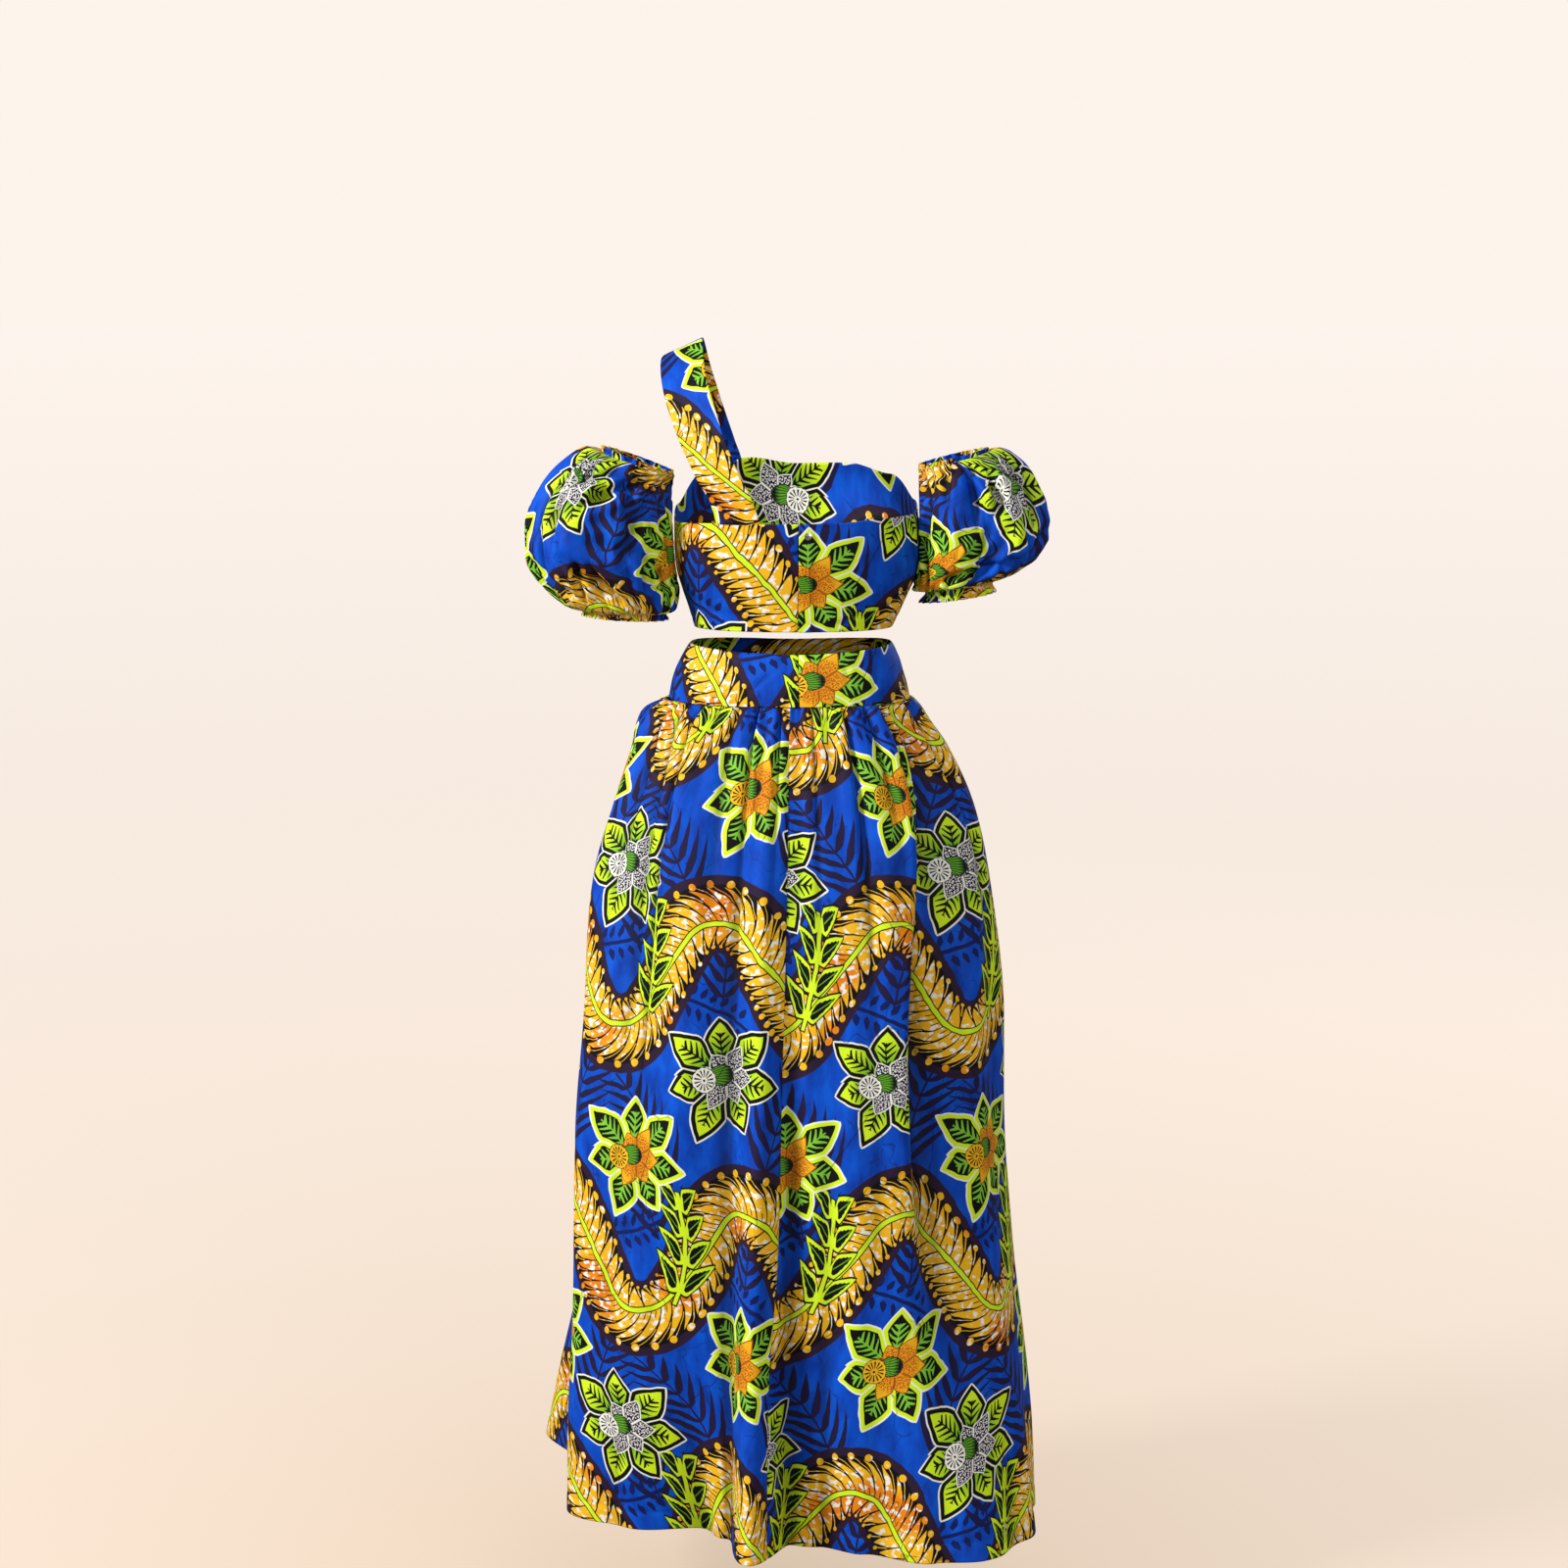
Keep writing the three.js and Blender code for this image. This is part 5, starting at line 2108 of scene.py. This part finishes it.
@dataclass(frozen=True)
class Crumple:
    """Crumples with crisp ridges, all round a sleeve.

    Attributes:
        depth: mm out and in.
        count: how many go round the arm.
        lean: degrees round the arm for each hundredth of the way down.
    """

    depth: float
    count: int
    lean: float

    def over(self, turn: np.ndarray, down: np.ndarray, seed: int) -> np.ndarray:
        """How far the cloth stands out.

        Args:
            turn: degrees about the arm.
            down: hundredths of the way down the sleeve.
            seed: picks the pattern.

        Returns:
            The heights, in mm.
        """
        step = 360 / self.count
        spacing = (step, step * 1.5)
        leaning = turn + self.lean * down
        ridges = smooth_noise(leaning, down, spacing, seed + self.count, self.count)
        return self.depth * (0.35 - np.abs(ridges)) * 1.5


@dataclass
class PuffSleeve(ClothWork):
    """A puff sleeve on the upper arm, elasticated at both ends with a small frill."""

    side: Side
    rings: SizeTable
    hand_folds: SizeTable
    pattern: Pattern
    seed: int
    columns: int = 240
    rows: int = 128
    elastics: tuple[tuple[float, int], ...] = ((0.1, 21), (0.9, 23))
    gather_depth: tuple[float, float] = (5.0, 12.0)
    gather_length: tuple[float, float] = (0.07, 0.34)
    frill: float = 3.0
    fold_count: int = 11
    billow: float = 3.4
    billow_count: int = 12
    billow_down: float = 24.0
    crumples: tuple[Crumple, ...] = (Crumple(4.6, 15, 0.5), Crumple(3.2, 24, -0.7))
    body_gap: float = 0.8

    def pinches(self, turn: np.ndarray, place: np.ndarray) -> np.ndarray:
        """Gathers that run in from each elastic, uneven in depth and length, and the frills.

        Args:
            turn: degrees about the arm.
            place: from 0 at the top frill to 1 at the bottom one.

        Returns:
            How far the cloth stands out, in mm.
        """
        draw = np.random.default_rng(self.seed)
        height = np.zeros(np.broadcast_shapes(turn.shape, place.shape))
        for end, count in self.elastics:
            knots = np.sort((np.arange(count) + draw.uniform(-0.33, 0.33, count)) * 360 / count)
            depth = draw.uniform(*self.gather_depth, count)
            length = draw.uniform(*self.gather_length, count)
            low, high, share = ring_cell(knots, turn)
            inward = place - end if end < 0.5 else end - place
            into, out = np.maximum(inward, 0), np.maximum(-inward, 0)
            size = depth[low] * (1 - share) * np.exp(-into / length[low])
            size = size + depth[high] * share * np.exp(-into / length[high])
            grip = 0.18 + 0.82 * smoothstep(into, 0.0, 0.07)
            near = np.where(place < 0.5, end < 0.5, end > 0.5)
            height += size * puff(share, 0.7) * grip * near
            wander = 60 * np.sin((3 * turn + 40 * end) * DEGREE)
            ruffle = np.cos((count * turn + wander) * DEGREE) * smoothstep(out, 0.0, 0.1)
            height += self.frill * ruffle * near
        return height

    def long_folds(self, width: float, height: float) -> tuple[Crease, ...]:
        """Lays long folds that run in from both elastics at a slant, then the listed ones.

        Args:
            width: mm round the sleeve.
            height: mm from its top to its bottom.

        Returns:
            The folds, spread unevenly round the arm.
        """
        draw = np.random.default_rng(self.seed + 50)
        count = self.fold_count
        laid = []
        for end, inward in ((0.13, 1), (0.87, -1)):
            starts = (np.arange(count) + draw.uniform(-0.35, 0.35, count)) / count
            for start in starts:
                slant = draw.uniform(-0.075, 0.075)
                run = draw.uniform(0.22, 0.46)
                tip = ((start + slant) * width, (end + inward * run) * height)
                wide = draw.uniform(4.0, 8.0)
                deep = draw.uniform(3.0, 7.5)
                laid.append(Crease((start * width, end * height), tip, wide, deep))
        for turn_from, place_from, turn_to, place_to, wide, deep in self.hand_folds.rows:
            start = (turn_from / 360 * width, place_from * height)
            tip = (turn_to / 360 * width, place_to * height)
            laid.append(Crease(start, tip, wide, deep))
        return tuple(laid)

    def surface(self) -> ClothGrid:
        """Points of the sleeve's outer side, round the arm and from its top down."""
        turn = np.linspace(0, 360, self.columns + 1)[:, None]
        place = np.linspace(0, 1, self.rows)[None, :]
        at = place * (len(self.rings.rows) - 1)
        x, z, rx, ry, tilt, fold = (
            self.rings.smooth(name, at, by="row") for name in self.rings.columns
        )
        broad = fold * SLEEVE_FOLDS.around("depth", turn + 25 * (place - 0.5))
        down = place * 100
        spacing = (360 / self.billow_count, self.billow_down)
        billow = self.billow * smooth_noise(turn, down, spacing, self.seed, self.billow_count)
        for crumple in self.crumples:
            billow = billow + crumple.over(turn, down, self.seed)
        swell = 1 + (broad + billow * fold + self.pinches(turn, place)) / rx
        outward = rx * swell * np.cos(turn * DEGREE)
        point = [
            self.side.value * (x + outward * np.cos(tilt * DEGREE)),
            SLEEVE_DEPTH_CENTRE + ry * swell * np.sin(turn * DEGREE),
            z + outward * np.sin(tilt * DEGREE),
        ]
        point = np.stack(np.broadcast_arrays(*point), axis=-1)
        point[-1] = point[0]
        grid = ClothGrid(point, closed=True, outward=-float(self.side.value))
        width, height = float(grid.across()[-1].max()), float(grid.up().max())
        folds = self.long_folds(width, height)
        for shift in (-width, 0.0, width):
            grid.crease(folds, turn / 360 * width + shift)
        grid.points[-1] = grid.points[0]
        grid.points = self.beside_body(grid.points)
        return grid

    def beside_body(self, point: np.ndarray) -> np.ndarray:
        """Moves points out of the bodice's side, so that the sleeve lies against it."""
        angle = np.degrees(np.arctan2(point[..., 0], point[..., 1]))
        body = body_point(angle, point[..., 2])
        least = np.hypot(body[..., 0], body[..., 1]) + SLEEVE_CLEARANCE + self.body_gap
        distance = np.hypot(point[..., 0], point[..., 1])
        kept = around(angle, least, point[..., 2])
        return np.where((distance < least)[..., None], kept, point)

    def build(self) -> None:
        """Makes the sleeve, its print laid out round the arm and from the top down."""
        grid = self.surface()
        across, place = grid.across(), self.pattern.place
        along = self.side.value * across / across[-1] * self.pattern.cut.width
        cloth_uv = np.stack([place.right + along, place.up - grid.up() * MM], axis=-1)
        self.sew(self.pattern, grid, cloth_uv)


# ------------------------------------------------------------------------------------- studio
@dataclass(frozen=True)
class SoftLamp:
    """A square soft light that faces the dress."""

    name: str
    at: tuple[float, float, float]
    size: float
    power: float

    def hang(self, target: np.ndarray) -> None:
        """Hangs it and turns it to face a point."""
        light = bpy.data.lights.new(self.name, "AREA")
        light.size = self.size
        light.energy = self.power
        lamp = bpy.data.objects.new(self.name, light)
        lamp.location = self.at
        lamp.visible_camera = False
        aim = target - np.array(self.at)
        tilt = math.atan2(math.hypot(aim[0], aim[1]), -aim[2])
        lamp.rotation_euler = (tilt, 0.0, math.atan2(aim[1], aim[0]) - math.pi / 2)
        bpy.context.scene.collection.objects.link(lamp)


@dataclass
class Studio:
    """A pale floor, soft light and the camera."""

    lamps: tuple[SoftLamp, ...] = (
        SoftLamp("key_light", (3.3, 1.9, 1.5), 0.9, 190.0),
        SoftLamp("fill_light", (-1.6, 3.4, 0.8), 2.0, 46.0),
        SoftLamp("front_light", (-2.4, -3.2, 1.2), 2.0, 30.0),
    )
    middle: tuple[float, float, float] = (-0.125, 0.0, -0.7)
    camera_at: tuple[float, float, float] = (-0.112, 3.806, 0.068)
    camera_tilt: float = 81.7
    focal_length: float = 78.48
    sensor_width: float = 36.0
    floor_size: float = 240.0
    backdrop: tuple[float, float, float, float] = linear(253, 244, 236)
    sky_colour: tuple[float, float, float, float] = (0.98, 0.97, 1.0, 1.0)
    sky_light: float = 0.30

    def floor(self) -> None:
        """Lays the floor under the wearer's feet."""
        bpy.ops.object.select_all(action="DESELECT")
        bpy.ops.mesh.primitive_plane_add(size=self.floor_size, location=(0, 0, 0))
        floor = bpy.context.object
        floor.name = "studio_floor"
        bpy.ops.transform.translate(value=(0, 0, -SHOULDER[2] * MM))
        bpy.ops.object.transform_apply(location=True, rotation=True, scale=True)
        floor.data.materials.append(StudioPaper().material())

    def sky(self) -> None:
        """Lights the scene evenly from all round, and gives the camera a plain backdrop."""
        world = bpy.data.worlds.new("studio_sky")
        world.use_nodes = True
        tree = world.node_tree
        sky = tree.nodes["Background"]
        sky.inputs["Color"].default_value = self.sky_colour
        sky.inputs["Strength"].default_value = self.sky_light
        backdrop = tree.nodes.new("ShaderNodeBackground")
        backdrop.inputs["Color"].default_value = self.backdrop
        seen = tree.nodes.new("ShaderNodeLightPath")
        choose = tree.nodes.new("ShaderNodeMixShader")
        tree.links.new(seen.outputs["Is Camera Ray"], choose.inputs[0])
        tree.links.new(sky.outputs[0], choose.inputs[1])
        tree.links.new(backdrop.outputs[0], choose.inputs[2])
        tree.links.new(choose.outputs[0], tree.nodes["World Output"].inputs["Surface"])
        bpy.context.scene.world = world

    def camera(self) -> None:
        """Sets up the camera behind the wearer."""
        lens = bpy.data.cameras.new("camera")
        lens.lens = self.focal_length
        lens.sensor_width = self.sensor_width
        camera = bpy.data.objects.new("camera", lens)
        camera.location = self.camera_at
        camera.rotation_euler = (math.radians(self.camera_tilt), 0.0, math.radians(180))
        bpy.context.scene.collection.objects.link(camera)
        bpy.context.scene.camera = camera

    def build(self) -> None:
        """Sets up the floor, lights, sky and camera."""
        self.floor()
        for lamp in self.lamps:
            lamp.hang(np.array(self.middle))
        self.sky()
        self.camera()
        bpy.context.scene.view_settings.view_transform = "Standard"
        LOG.info("studio ready")


def main() -> None:
    """Builds the dress piece by piece, and the studio round it."""
    logging.basicConfig(level=logging.INFO, format="%(name)s: %(message)s")
    Studio().build()
    cotton = PrintedCotton().material()
    Bodice(cotton, NickelSnap().material()).build()
    Waistband(cotton).build()
    Skirt(cotton).build()
    left_cut = Cut(0.56, 0.26, 0.132, Hold.GATHERED)
    right_cut = Cut(0.52, 0.235, 0.110, Hold.GATHERED)
    left = Pattern("sleeve_left", left_cut, PrintPlace(0.161, 0.262))
    right = Pattern("sleeve_right", right_cut, PrintPlace(0.05, 0.267))
    PuffSleeve(cotton, Side.LEFT, LEFT_SLEEVE, LEFT_FOLDS, left, seed=3).build()
    PuffSleeve(cotton, Side.RIGHT, RIGHT_SLEEVE, RIGHT_FOLDS, right, seed=7).build()


if __name__ == "__main__":
    main()
